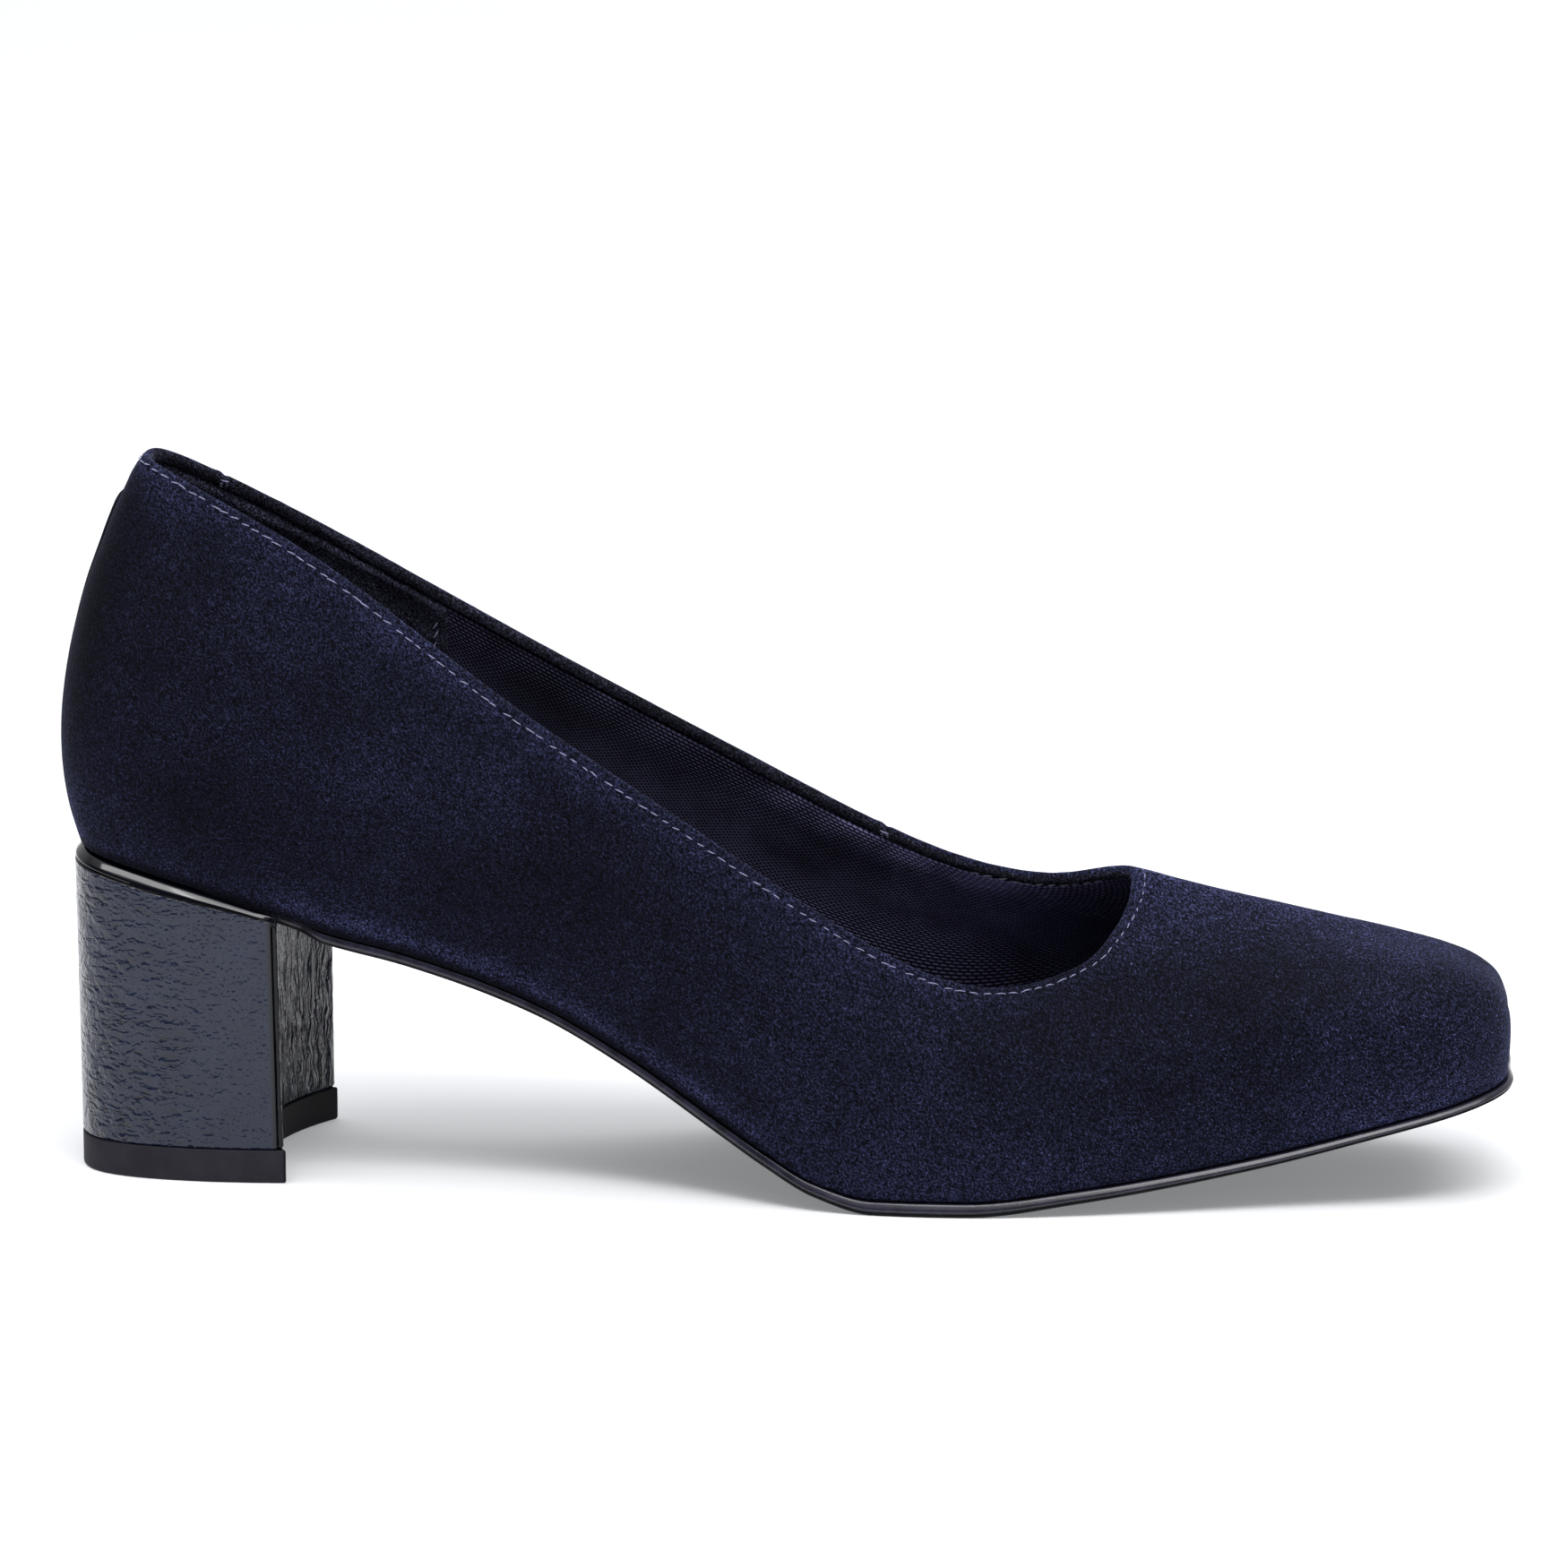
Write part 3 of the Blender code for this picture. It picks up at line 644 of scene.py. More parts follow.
def drawn_out(tree, place, way, stretch):
    """Place squeezed along a unit direction, so that noise read from it is drawn out that way."""
    along = add_node(tree, "VectorMath", {0: place, 1: way}, operation="DOT_PRODUCT").outputs["Value"]
    share = combine(tree, "MULTIPLY", along, 1.0 - 1.0 / stretch)
    part = add_node(tree, "VectorMath", {0: way, "Scale": share}, operation="SCALE").outputs[0]
    return add_node(tree, "VectorMath", {0: place, 1: part}, operation="SUBTRACT").outputs[0]


def suede_finish(name, tones, sheen):
    """Napped suede: soft clouds where the pile lies differently, and short brushed tufts, pale and dark.

    The tone is a product of noises: tufts, clumps, patches and clouds, with pale flecks that show
    more towards the toe. The piece's own attribute, partly the pile's lie and partly painted light and
    shade, doubles or halves it, and a painted sheen makes it paler where the surface turns away from
    the eye.
    """
    tuft_contrast = 2.6
    between_flecks = 0.86
    middle_tone = 0.5
    sockets = {
        "Roughness": 0.95,
        "Specular IOR Level": 0.08,
        "Sheen Weight": sheen,
        "Sheen Roughness": 0.30,
        "Sheen Tint": (0.50, 0.54, 0.85, 1.0),
    }
    material, tree, shader = new_finish(name, sockets)
    place = millimetres(tree, stretch=(1.0, 2.2, 1.0))
    brushed = drawn_out(tree, place, NAP_WAY, stretch=1.9)
    clouds = noise(tree, place, size=15.0, detail=3.0, rough=0.55, bend=0.6)
    patches = noise(tree, brushed, size=4.0, detail=2.0, rough=0.6, bend=0.4)
    clumps = noise(tree, brushed, size=1.1, detail=2.0, rough=0.6)
    tufts = spread(tree, noise(tree, brushed, size=0.25, detail=1.5, rough=0.6), 0.26, 0.76)
    flecks = spread(tree, noise(tree, brushed, size=0.24, detail=1.0, rough=0.5), 0.60, 0.74, 0.0, 3.0)
    toe_way = add_node(tree, "SeparateXYZ", {"Vector": place}).outputs[0]
    flecks = combine(tree, "MULTIPLY", flecks, spread(tree, toe_way, 0.0, 70.0, 0.18, 1.0))
    nap_and_painted_light = add_node(tree, "Attribute", attribute_name="nap_and_painted_light").outputs["Fac"]
    # Painted sheen: the colour is paler where the surface turns away from the eye.
    painted_grazing_sheen = add_node(tree, "LayerWeight", {"Blend": 0.5}).outputs["Facing"]
    layers = (
        combine(tree, "POWER", 2.0, nap_and_painted_light),
        spread(tree, clumps, 0.32, 0.68, 0.92, 1.08),
        spread(tree, patches, 0.35, 0.65, 0.90, 1.10),
        spread(tree, clouds, 0.35, 0.65, 0.80, 1.20),
        spread(tree, painted_grazing_sheen, 0.55, 1.0, 1.0, 2.4),
        combine(tree, "ADD", flecks, between_flecks),
        middle_tone,
    )
    tone = combine(tree, "POWER", tufts, tuft_contrast)
    for layer in layers:
        tone = combine(tree, "MULTIPLY", tone, layer)
    tree.links.new(tint(tree, tone, *tones), shader.inputs["Base Color"])
    relief(tree, shader, tufts, strength=0.8, distance_mm=0.16)
    return material


def patent_finish(name, tones, gloss, ridge_size, ridge_depth, dent_stretch):
    """Glossy patent: dark navy with rounded ridges, short dents between them and orange peel.

    The heel's own map runs along the crinkles in its first value and across them in its second.
    Noise on that map, bent by a slower noise and drawn out along the crinkles, gives the ridges, and
    finer noise the dents, which lie in places and are painted darker as shade. On the rim and edges
    the piece's own value paints shade, a deeper colour, and there is no peel.
    """
    bend_scale = 0.22
    bend = (3.0, 3.0, 0.0)
    ridge_stretch = 1.5 * dent_stretch
    dent_size = 0.52 * ridge_size
    dent_depth = 0.36
    peel_depth = 0.18
    sockets = {"Roughness": 0.10, "Specular IOR Level": gloss}
    material, tree, shader = new_finish(name, sockets)
    along = add_node(tree, "UVMap", uv_map="crinkle_map").outputs[0]
    strength = add_node(tree, "Attribute", attribute_name="crinkle").outputs["Fac"]
    peel_and_unshaded = add_node(tree, "Attribute", attribute_name="peel_and_unshaded").outputs["Fac"]
    drift = add_node(tree, "TexNoise", {"Vector": along, "Scale": bend_scale, "Detail": 2.0}).outputs["Color"]
    shift = add_node(tree, "VectorMath", {0: drift, 1: bend}, operation="MULTIPLY").outputs[0]
    bent = add_node(tree, "VectorMath", {0: along, 1: shift}, operation="ADD").outputs[0]
    ridge_way = add_node(tree, "Mapping", {"Vector": bent, "Scale": (ridge_stretch, 1.0, 1.0)}).outputs[0]
    dent_way = add_node(tree, "Mapping", {"Vector": bent, "Scale": (dent_stretch, 1.0, 1.0)}).outputs[0]
    ridges = spread(tree, noise(tree, ridge_way, ridge_size, detail=1.0), 0.30, 0.70, 0.0, ridge_depth)
    places = spread(tree, noise(tree, along, size=5.0, detail=2.0), 0.44, 0.56, 0.15, 1.0)
    dents = spread(tree, noise(tree, dent_way, dent_size, detail=1.0), 0.50, 0.72)
    dents = combine(tree, "MULTIPLY", dents, places)
    crinkles = combine(tree, "SUBTRACT", ridges, combine(tree, "MULTIPLY", dents, dent_depth))
    crinkles = combine(tree, "MULTIPLY", crinkles, strength)
    peel = spread(tree, noise(tree, along, size=0.70, detail=1.0), 0.25, 0.75, 0.0, peel_depth)
    peel = combine(tree, "MULTIPLY", peel, peel_and_unshaded)
    relief(tree, shader, combine(tree, "ADD", crinkles, peel), strength=1.0, distance_mm=0.55)
    # Painted shade: the colour is darker in the dents, and on the rim and edges.
    painted_dent_shade = spread(tree, combine(tree, "MULTIPLY", dents, strength), 0.0, 0.8, 1.0, 0.2)
    clouds = spread(tree, noise(tree, along, size=7.0, detail=2.0), 0.3, 0.7, 0.7, 1.0)
    shade = combine(tree, "MULTIPLY", combine(tree, "MULTIPLY", clouds, peel_and_unshaded), painted_dent_shade)
    tree.links.new(tint(tree, shade, *tones), shader.inputs["Base Color"])
    return material


def sole_finish(name, tones, roughness, gloss):
    """Black moulded sole with a faint grain and rubbed places."""
    sockets = {"Roughness": roughness, "Specular IOR Level": gloss}
    material, tree, shader = new_finish(name, sockets)
    place = millimetres(tree)
    rubbed = spread(tree, noise(tree, place, size=3.0, detail=3.0, rough=0.6), 0.35, 0.7)
    grain = noise(tree, place, size=0.3, detail=2.0)
    tree.links.new(tint(tree, rubbed, *tones), shader.inputs["Base Color"])
    relief(tree, shader, grain, strength=0.25, distance_mm=0.04)
    return material


def lift_finish(tones):
    """Matte black rubber of the top piece, with fine pores and level marks of the cutting.

    The piece's own value scales a dusty noise in the colour; it is low on the face inside the breast,
    where it paints shade.
    """
    sockets = {"Roughness": 0.62, "Specular IOR Level": 0.12}
    material, tree, shader = new_finish("black_rubber", sockets)
    place = millimetres(tree)
    cut = millimetres(tree, stretch=(8.0, 8.0, 1.0))
    unshaded = add_node(tree, "Attribute", attribute_name="unshaded").outputs["Fac"]
    dust_and_shade = spread(tree, noise(tree, place, size=5.0, detail=3.0, rough=0.6), 0.3, 0.7, 0.6, 1.0)
    dust_and_shade = combine(tree, "MULTIPLY", dust_and_shade, unshaded)
    pores = spread(tree, noise(tree, place, size=0.35, detail=2.0, rough=0.6), 0.3, 0.7, 0.0, 0.6)
    marks = spread(tree, noise(tree, cut, size=0.6, detail=2.0), 0.3, 0.7, 0.0, 0.4)
    tree.links.new(tint(tree, dust_and_shade, *tones), shader.inputs["Base Color"])
    relief(tree, shader, combine(tree, "ADD", pores, marks), strength=0.4, distance_mm=0.06)
    return material


def rounded_rows(tree, value):
    """Height of rounded rows, one for each unit of a value: a sine without its sign."""
    turn = combine(tree, "MULTIPLY", value, np.pi)
    return combine(tree, "ABSOLUTE", combine(tree, "SINE", turn, 0.0), 0.0)


def twill_finish(tones):
    """Navy twill lining: rows of short floats on the piece's own map, each row set on by about a third.

    The weave is the product of rounded rows across the cloth and rounded floats along each row.
    """
    row_height = 0.82
    row_crispness = 1.8
    float_length = 1.05
    float_crispness = 0.9
    row_shift = 0.36
    middle_tone = 0.28
    sockets = {"Roughness": 0.9, "Specular IOR Level": 0.04}
    material, tree, shader = new_finish("navy_twill", sockets)
    place = add_node(tree, "UVMap", uv_map="cloth").outputs[0]
    parts = add_node(tree, "SeparateXYZ", {"Vector": place})
    across = combine(tree, "DIVIDE", parts.outputs[1], row_height)
    shifted = combine(tree, "MULTIPLY", combine(tree, "FLOOR", across, 0.0), row_shift)
    along = combine(tree, "ADD", combine(tree, "DIVIDE", parts.outputs[0], float_length), shifted)
    rows = combine(tree, "POWER", rounded_rows(tree, across), row_crispness)
    floats = combine(tree, "POWER", rounded_rows(tree, along), float_crispness)
    weave = combine(tree, "MULTIPLY", rows, floats)
    wear = noise(tree, millimetres(tree), size=7.0, detail=3.0, rough=0.6)
    # The piece's own tone value paints light and shade on the lining.
    tone = add_node(tree, "Attribute", attribute_name="tone").outputs["Fac"]
    shade = combine(tree, "MULTIPLY", weave, spread(tree, wear, 0.3, 0.7, 0.55, 1.0))
    shade = combine(tree, "MULTIPLY", shade, middle_tone)
    shade = combine(tree, "MULTIPLY", combine(tree, "POWER", 2.0, tone), shade)
    tree.links.new(tint(tree, shade, *tones), shader.inputs["Base Color"])
    relief(tree, shader, weave, strength=0.7, distance_mm=0.22)
    return material


def sock_finish(tones):
    """Navy sock of the insole: smooth lining leather with fine pores and a faint bloom."""
    sockets = {"Roughness": 0.6, "Specular IOR Level": 0.35}
    material, tree, shader = new_finish("navy_sock", sockets)
    place = millimetres(tree)
    bloom = spread(tree, noise(tree, place, size=12.0, detail=3.0, rough=0.6), 0.3, 0.7)
    pores = noise(tree, place, size=0.45, detail=3.0, rough=0.6)
    tree.links.new(tint(tree, bloom, *tones), shader.inputs["Base Color"])
    relief(tree, shader, pores, strength=0.4, distance_mm=0.08)
    return material


def thread_finish(name, colour):
    """Sewing thread with a fine twist, darker in the hollows of the twist."""
    hollow = 0.6
    sockets = {"Roughness": 0.55, "Sheen Weight": 0.3}
    material, tree, shader = new_finish(name, sockets)
    twist = noise(tree, millimetres(tree, stretch=(1.0, 1.0, 0.5)), size=0.25, detail=1.0)
    dark = tuple(hollow * part for part in colour)
    tree.links.new(tint(tree, spread(tree, twist, 0.3, 0.7), dark, colour), shader.inputs["Base Color"])
    relief(tree, shader, twist, strength=0.4, distance_mm=0.05)
    return material


def upper_columns():
    """Shares of the way round for the upper's columns, closer together at the joins of the band."""
    columns = 560
    near = np.linspace(-0.004, 0.004, 17)
    even = np.arange(columns) / columns
    close = np.concatenate([join + near for join in BAND_JOINS])
    return np.unique(np.round(np.concatenate([even, close]), 6))


def upper_relief(u, v, down, along):
    """Soft forms of the suede, outwards: lasting waves, a ripple by the topline and the sewn groove."""
    waves = wave_form(LASTING_WAVES, along, down) * smooth_step(0.0, 0.08, v)
    groove = -0.20 * bell(down, stitch_depth(u)[:, None], 0.45)
    swell = 0.10 * bell(down, 4.2, 1.6)
    ripple = wave_form(TOPLINE_RIPPLE, along, down) * smooth_step(6.0, 0.0, down)
    return waves + (groove + swell) + ripple


def patch_tone(patches, points):
    """Doublings of tone at each point: a rounded bump for each patch of a table."""
    tone = np.zeros(points.shape[:-1])
    for patch in patches:
        along = bell(points[..., 0], patch.x, patch.half_length)
        tone = tone + patch.light * along * bell(points[..., 2], patch.z, patch.half_height)
    return tone


def nap_and_painted_light_tone(points, down, rise):
    """Doublings of the suede's tone, much of it painted light and shade: the patches of the table, paler
    near the topline and near the sole, a painted sheen on a roll at the shank, and painted shade
    along the foot of the wall behind the ball.
    """
    x = points[..., 0]
    by_topline = 0.62 * smooth_step(13.0, 2.0, down)
    by_sole = 0.35 * smooth_step(6.0, 1.0, rise)
    behind_ball = smooth_step(130.0, 114.0, x)
    shank = smooth_step(34.0, 46.0, x) * behind_ball
    # Painted sheen: a paler roll a few millimetres above the foot at the shank.
    painted_sheen_over_crease = 1.3 * shank * bell(rise, 3.3, 2.2)
    # Painted shade: the lowest millimetre of suede behind the ball, over the sole and the heel's rim.
    painted_foot_shade = 3.0 * behind_ball * smooth_step(1.2, 0.6, rise)
    return by_topline + by_sole + painted_sheen_over_crease - painted_foot_shade + patch_tone(NAP_AND_PAINTED_LIGHT_PATCHES, points)


def add_upper(finish, band_finish):
    """One suede shell: up the outer face, over the folded topline, down the band and back inside.

    A closed profile is carried round the last. Each profile point has a height v and a depth
    inwards along the outer face's normal, and the fold is half a circle of the fold's radius.
    """
    foot_radius = 0.8
    lip_radius = 0.45
    sole_clear = 0.03
    # Painted shade on the band, in halvings of its tone.
    painted_band_shade = 0.35
    outer_rows, band_rows, inner_rows = 84, 7, 11
    quarter = np.linspace(0.0, 0.5 * np.pi, 6)
    arch = np.linspace(0.0, np.pi, 15)
    u = upper_columns()
    along = topline_length(u)[:, None]
    low_speed = column_speed(u, 0.0)[:, None]

    foot_v = foot_radius * (1.0 - np.cos(quarter))[None, :] / low_speed
    foot_depth = foot_radius * (1.0 - np.sin(quarter))
    fold_v = below_top(u, FOLD_RADIUS * (1.0 - np.sin(arch)))
    fold_depth = FOLD_RADIUS * (1.0 - np.cos(arch))
    share = np.linspace(0.0, 1.0, outer_rows + 2)[1:-1]
    outer_v = foot_v[:, -1:] + (fold_v[:, :1] - foot_v[:, -1:]) * share
    band_v = below_top(u, np.linspace(FOLD_RADIUS, BAND_DEPTH, band_rows + 1)[1:])
    lip_v = below_top(u, BAND_DEPTH + lip_radius * np.sin(quarter[1:]))
    lip_depth = SUEDE + (2.0 * FOLD_RADIUS - SUEDE) * np.cos(quarter[1:])
    inner_v = lip_v[:, -1:] * np.linspace(1.0, 0.0, inner_rows + 1)[1:]

    v = np.concatenate([foot_v, outer_v, fold_v, band_v, lip_v, inner_v], axis=1)
    depth = np.concatenate(
        [
            foot_depth,
            np.zeros(outer_rows),
            fold_depth,
            np.full(band_rows, 2.0 * FOLD_RADIUS),
            lip_depth,
            np.full(inner_rows, SUEDE),
        ]
    )
    points, normal, _ = wall_frame(u, v)
    down = (1.0 - v) * column_speed(u, 1.0)[:, None]
    rise = v * low_speed
    outside = depth <= FOLD_RADIUS
    form = np.where(outside, upper_relief(u, v, down, along), 0.0)
    topside = smooth_step(-0.2, 0.6, depth) * smooth_step(BAND_DEPTH + 1.0, BAND_DEPTH, down)
    for join in BAND_JOINS:
        away = along - np.interp(join, u, along[:, 0])
        nick = 0.5 * bell(away, 0.0, 0.45)
        lap = 0.22 * bell(away, 1.2, 0.9)
        form = form - topside * (nick - lap)
    band_waves = np.where(outside, 0.0, wave_form(BAND_WAVES, along, down))
    form = form - band_waves * (depth > SUEDE + 0.1)
    points = points + normal * (form - depth)[..., None]
    points[..., 2] -= (GAP - sole_clear) * smooth_step(4.0, 0.0, rise)
    faces = grid_faces(*v.shape, True, True)
    piece = add_piece("upper_suede", points.reshape(-1, 3), [faces], finish, "suede", ["upper"])
    # This value paints light and shade into the suede's tone besides the pile's patches, and paints the band
    # darker as shade.
    add_shares(piece, "nap_and_painted_light", nap_and_painted_light_tone(points, down, rise) - painted_band_shade * smooth_step(0.8, 1.6, depth))
    # The band's faces take the greyer copy of the suede, its painted shade.
    piece.data.materials.append(band_finish)
    in_band = np.tile(depth > 1.2 * FOLD_RADIUS, len(u))
    piece.data.polygons.foreach_set("material_index", in_band.astype(np.int32))


def cloth_map(along, down):
    """Map of a closed grid's corners: length round the shoe and distance below the topline."""
    columns, rows = down.shape
    step = along[-1] - along[-2]
    round_map = np.append(along, along[-1] + step)
    a = np.arange(columns)[:, None]
    b = np.arange(rows)[None, :]
    above = (b + 1) % rows
    x = np.stack(np.broadcast_arrays(round_map[a], round_map[a + 1], round_map[a + 1], round_map[a]), axis=-1)
    column = (a + 1) % columns
    y = np.stack(
        np.broadcast_arrays(down[a, b], down[column, b], down[column, above], down[a, above]), axis=-1
    )
    return np.stack([np.broadcast_to(x, (columns, rows, 4)), y], axis=-1).reshape(-1, 2)


def add_lining(finish):
    """Twill shell inside the suede, with a slack rolled edge a little below the band.

    A closed profile is carried round the last: over the rolled edge, down the face and up behind it.
    """
    columns = 420
    edge_down = 2.6
    edge_radius = 0.45
    slack = 0.35
    behind = SUEDE + 0.05
    face_rows, back_rows = 61, 11
    arch = np.linspace(0.0, np.pi, 9)
    u = np.arange(columns) / columns
    along = topline_length(u)
    edge_v = below_top(u, edge_down + edge_radius * (1.0 - np.sin(arch)))
    edge_depth = LINING_IN + slack - edge_radius * (1.0 - np.cos(arch))[::-1]
    face_v = edge_v[:, -1:] * np.linspace(1.0, 0.01, face_rows + 1)[1:]
    way_up = np.linspace(0.0, 1.0, back_rows + 1)[:-1]
    back_v = face_v[:, -1:] + (edge_v[:, :1] - face_v[:, -1:]) * way_up
    v = np.concatenate([edge_v, face_v, back_v], axis=1)
    down = (1.0 - v) * column_speed(u, 1.0)[:, None]
    face_down = down[:, len(arch):len(arch) + face_rows]
    depth = np.concatenate(
        [
            np.broadcast_to(edge_depth, edge_v.shape),
            LINING_IN + slack * smooth_step(14.0, 5.0, face_down),
            np.full(back_v.shape, behind),
        ],
        axis=1,
    )
    points, normal, _ = wall_frame(u, v)
    waves = wave_form(LINING_WAVES, along[:, None], down) * (depth > SUEDE + 0.3)
    points = points - normal * (depth + waves)[..., None]
    faces = grid_faces(*v.shape, True, True)
    piece = add_piece("upper_lining", points.reshape(-1, 3), [faces], finish, "lining")
    add_map(piece, "cloth", cloth_map(along, down))
    # Painted light and shade on the lining.
    add_shares(piece, "tone", patch_tone(LINING_PAINTED_LIGHT, points))


def padded_sheet(points, normal, low, high):
    """Closed sheet on a grid: a lower face at lift low, an upper face at lift high, joined all round."""
    columns, rows = points.shape[:2]
    under = points + normal * low[..., None]
    over = points + normal * high[..., None]
    count = columns * rows
    quads = grid_faces(columns, rows, False, False)
    index = np.arange(count).reshape(columns, rows)
    border = np.concatenate([index[:, 0], index[-1, 1:], index[-2::-1, -1], index[0, -2:0:-1]])
    following = np.roll(border, -1)
    sides = np.stack([border, following, following + count, border + count], axis=1)
    faces = [quads[:, ::-1], quads + count, sides]
    return np.concatenate([under.reshape(-1, 3), over.reshape(-1, 3)]), faces


def rounded_rise(share_a, share_b, edge_a, edge_b, thick):
    """Thickness over a sheet that rounds off towards its four edges; shares run from 0 to 1."""
    a = np.clip(np.minimum(share_a, 1.0 - share_a) / edge_a, 0.0, 1.0)[:, None]
    b = np.clip(np.minimum(share_b, 1.0 - share_b) / edge_b, 0.0, 1.0)[None, :]
    round_a = np.sqrt(1.0 - (1.0 - a) ** 2)
    round_b = np.sqrt(1.0 - (1.0 - b) ** 2)
    return thick * round_a * round_b


def eased(count, edge):
    """Shares from 0 to 1 with extra points near both ends."""
    middle = np.linspace(0.0, 1.0, count)
    near = edge * np.array([0.08, 0.25, 0.5, 0.75])
    return np.unique(np.concatenate([middle, near, 1.0 - near]))


def add_heel_grip(finish):
    """Soft suede lining round the inside of the heel, from under the band to the insole.

    A grid on the inner face is padded out by a thickness that rounds off at its edges, and soft
    noise gives the folds, with one more fold just below the band.
    """
    end_edge, side_edge = 0.012, 0.02
    top_down = 2.6
    low_v = 0.03
    thick = 0.85
    back_in, face_in = SUEDE + 0.2, LINING_IN + 0.1
    round_length = 400.0
    share_a = eased(150, end_edge)
    share_b = eased(56, side_edge)
    u = (share_a - 0.5) * 2.0 * GRIP_REACH
    top = below_top(u, np.array([top_down]))
    v = low_v + (top - low_v) * share_b[None, :]
    points, normal, _ = wall_frame(u % 1.0, v)
    down = (1.0 - v) * column_speed(u, 1.0)[:, None]
    along = u[:, None] * round_length
    slanting = 0.45 * soft_noise(along / 7.0 + down / 9.0, down / 6.0, 21)
    creases = 0.20 * soft_noise(along / 2.6, down / 3.0, 22)
    top_fold = 0.45 * bell(down, 3.8, 1.0) * (0.6 + 0.4 * soft_noise(along / 5.0, down, 23))
    rise = rounded_rise(share_a, share_b, end_edge, side_edge, thick)
    folds = (slanting + creases + top_fold) * np.minimum(1.0, rise)
    depth = face_in + rise + folds
    points, faces = padded_sheet(points, -normal, np.full(v.shape, back_in), depth)
    faces = [quads[:, ::-1] for quads in faces]
    add_piece("heel_grip", points, faces, finish, "lining")


def add_back_strip(finish):
    """Suede strip over the back seam, rounded off at its edges, with a sewn groove by each side."""
    step = 0.005
    end_edge = 0.05
    sunk = -0.3
    sewn_in = 1.6
    far_away = 20.0
    ends, _ = feather(np.array([-step, step]))
    half = STRIP_HALF_WIDTH * 2.0 * step / np.linalg.norm(ends[1] - ends[0])
    share_a = eased(33, 0.10)
    share_b = eased(110, end_edge)
    u = (2.0 * share_a - 1.0) * half
    v = np.broadcast_to(STRIP_LOW + (STRIP_HIGH - STRIP_LOW) * share_b, (len(u), len(share_b)))
    points, normal, _ = wall_frame(u % 1.0, v)
    from_middle = np.abs(share_a - 0.5)[:, None] * 2.0 * STRIP_HALF_WIDTH
    groove = 0.16 * bell(from_middle, STRIP_HALF_WIDTH - sewn_in, 0.4)
    rise = rounded_rise(share_a, share_b, 0.45, end_edge, STRIP_THICK) - groove
    points, faces = padded_sheet(points, normal, np.full(v.shape, sunk), rise)
    piece = add_piece("back_strip_suede", points, faces, finish, "suede", ["back_strip"])
    far = np.full(len(points), far_away)
    # The strip takes the same patches, partly the pile's lie and partly painted light and shade.
    add_shares(piece, "nap_and_painted_light", nap_and_painted_light_tone(points, far, far))


def stitch_row(centres, along, normal, length, tilt):
    """Row of stitches, each a closed spindle that arches out of the surface and dips at both ends.

    A stitch is a grid of rings: along its length the half width follows the square root of a
    parabola, and its middle line stands off the surface by the same parabola.
    """
    rings, sides = 7, 6
    blunt_end = 0.02
    arch, dip = 1.3, 0.5
    s = np.linspace(-1.0, 1.0, rings)
    angle = np.linspace(0.0, 2.0 * np.pi, sides, endpoint=False)
    across = np.cross(normal, along)
    turned = along * np.cos(tilt)[:, None] + across * np.sin(tilt)[:, None]
    across = np.cross(normal, turned)
    swell = np.sqrt(np.maximum(1.0 - s**2, blunt_end))
    rise = STITCH_HALF_HEIGHT * (arch * (1.0 - s**2) - dip)
    wide = (STITCH_HALF_WIDTH * swell)[:, None] * np.cos(angle)
    tall = (STITCH_HALF_HEIGHT * swell)[:, None] * np.sin(angle) + rise[:, None]
    points = (
        centres[:, None, None, :]
        + turned[:, None, None, :] * (0.5 * length[:, None] * s)[:, :, None, None]
        + across[:, None, None, :] * wide[None, :, :, None]
        + normal[:, None, None, :] * tall[None, :, :, None]
    )
    tube = grid_faces(rings, sides, False, True)[:, ::-1]
    start = (np.arange(len(centres)) * rings * sides)[:, None, None]
    quads = (tube[None] + start).reshape(-1, 4)
    first = np.arange(sides)[None, None, ::-1]
    last = np.arange(sides)[None, None, :] + (rings - 1) * sides
    caps = np.concatenate([(first + start).reshape(-1, sides), (last + start).reshape(-1, sides)])
    return points.reshape(-1, 3), [quads, caps]


def join_rows(rows):
    """Several sets of points and faces as one set."""
    points, quads, caps = [], [], []
    start = 0
    for row_points, (row_quads, row_caps) in rows:
        points.append(row_points)
        quads.append(row_quads + start)
        caps.append(row_caps + start)
        start += len(row_points)
    return np.concatenate(points), [np.concatenate(quads), np.concatenate(caps)]


def even_stitches(u, points, pitch):
    """Shares u at even steps of the pitch along a line of points."""
    length = np.concatenate([[0.0], np.cumsum(np.linalg.norm(np.diff(points, axis=0), axis=1))])
    count = int(length[-1] / pitch)
    return np.interp((np.arange(count) + 0.5) * length[-1] / count, length, u)


def band_sewing_depth(u):
    """Distance of the band's own sewing below the topline, a little above the band's edge."""
    above_edge = 0.4
    return np.full(len(u), BAND_DEPTH - above_edge)


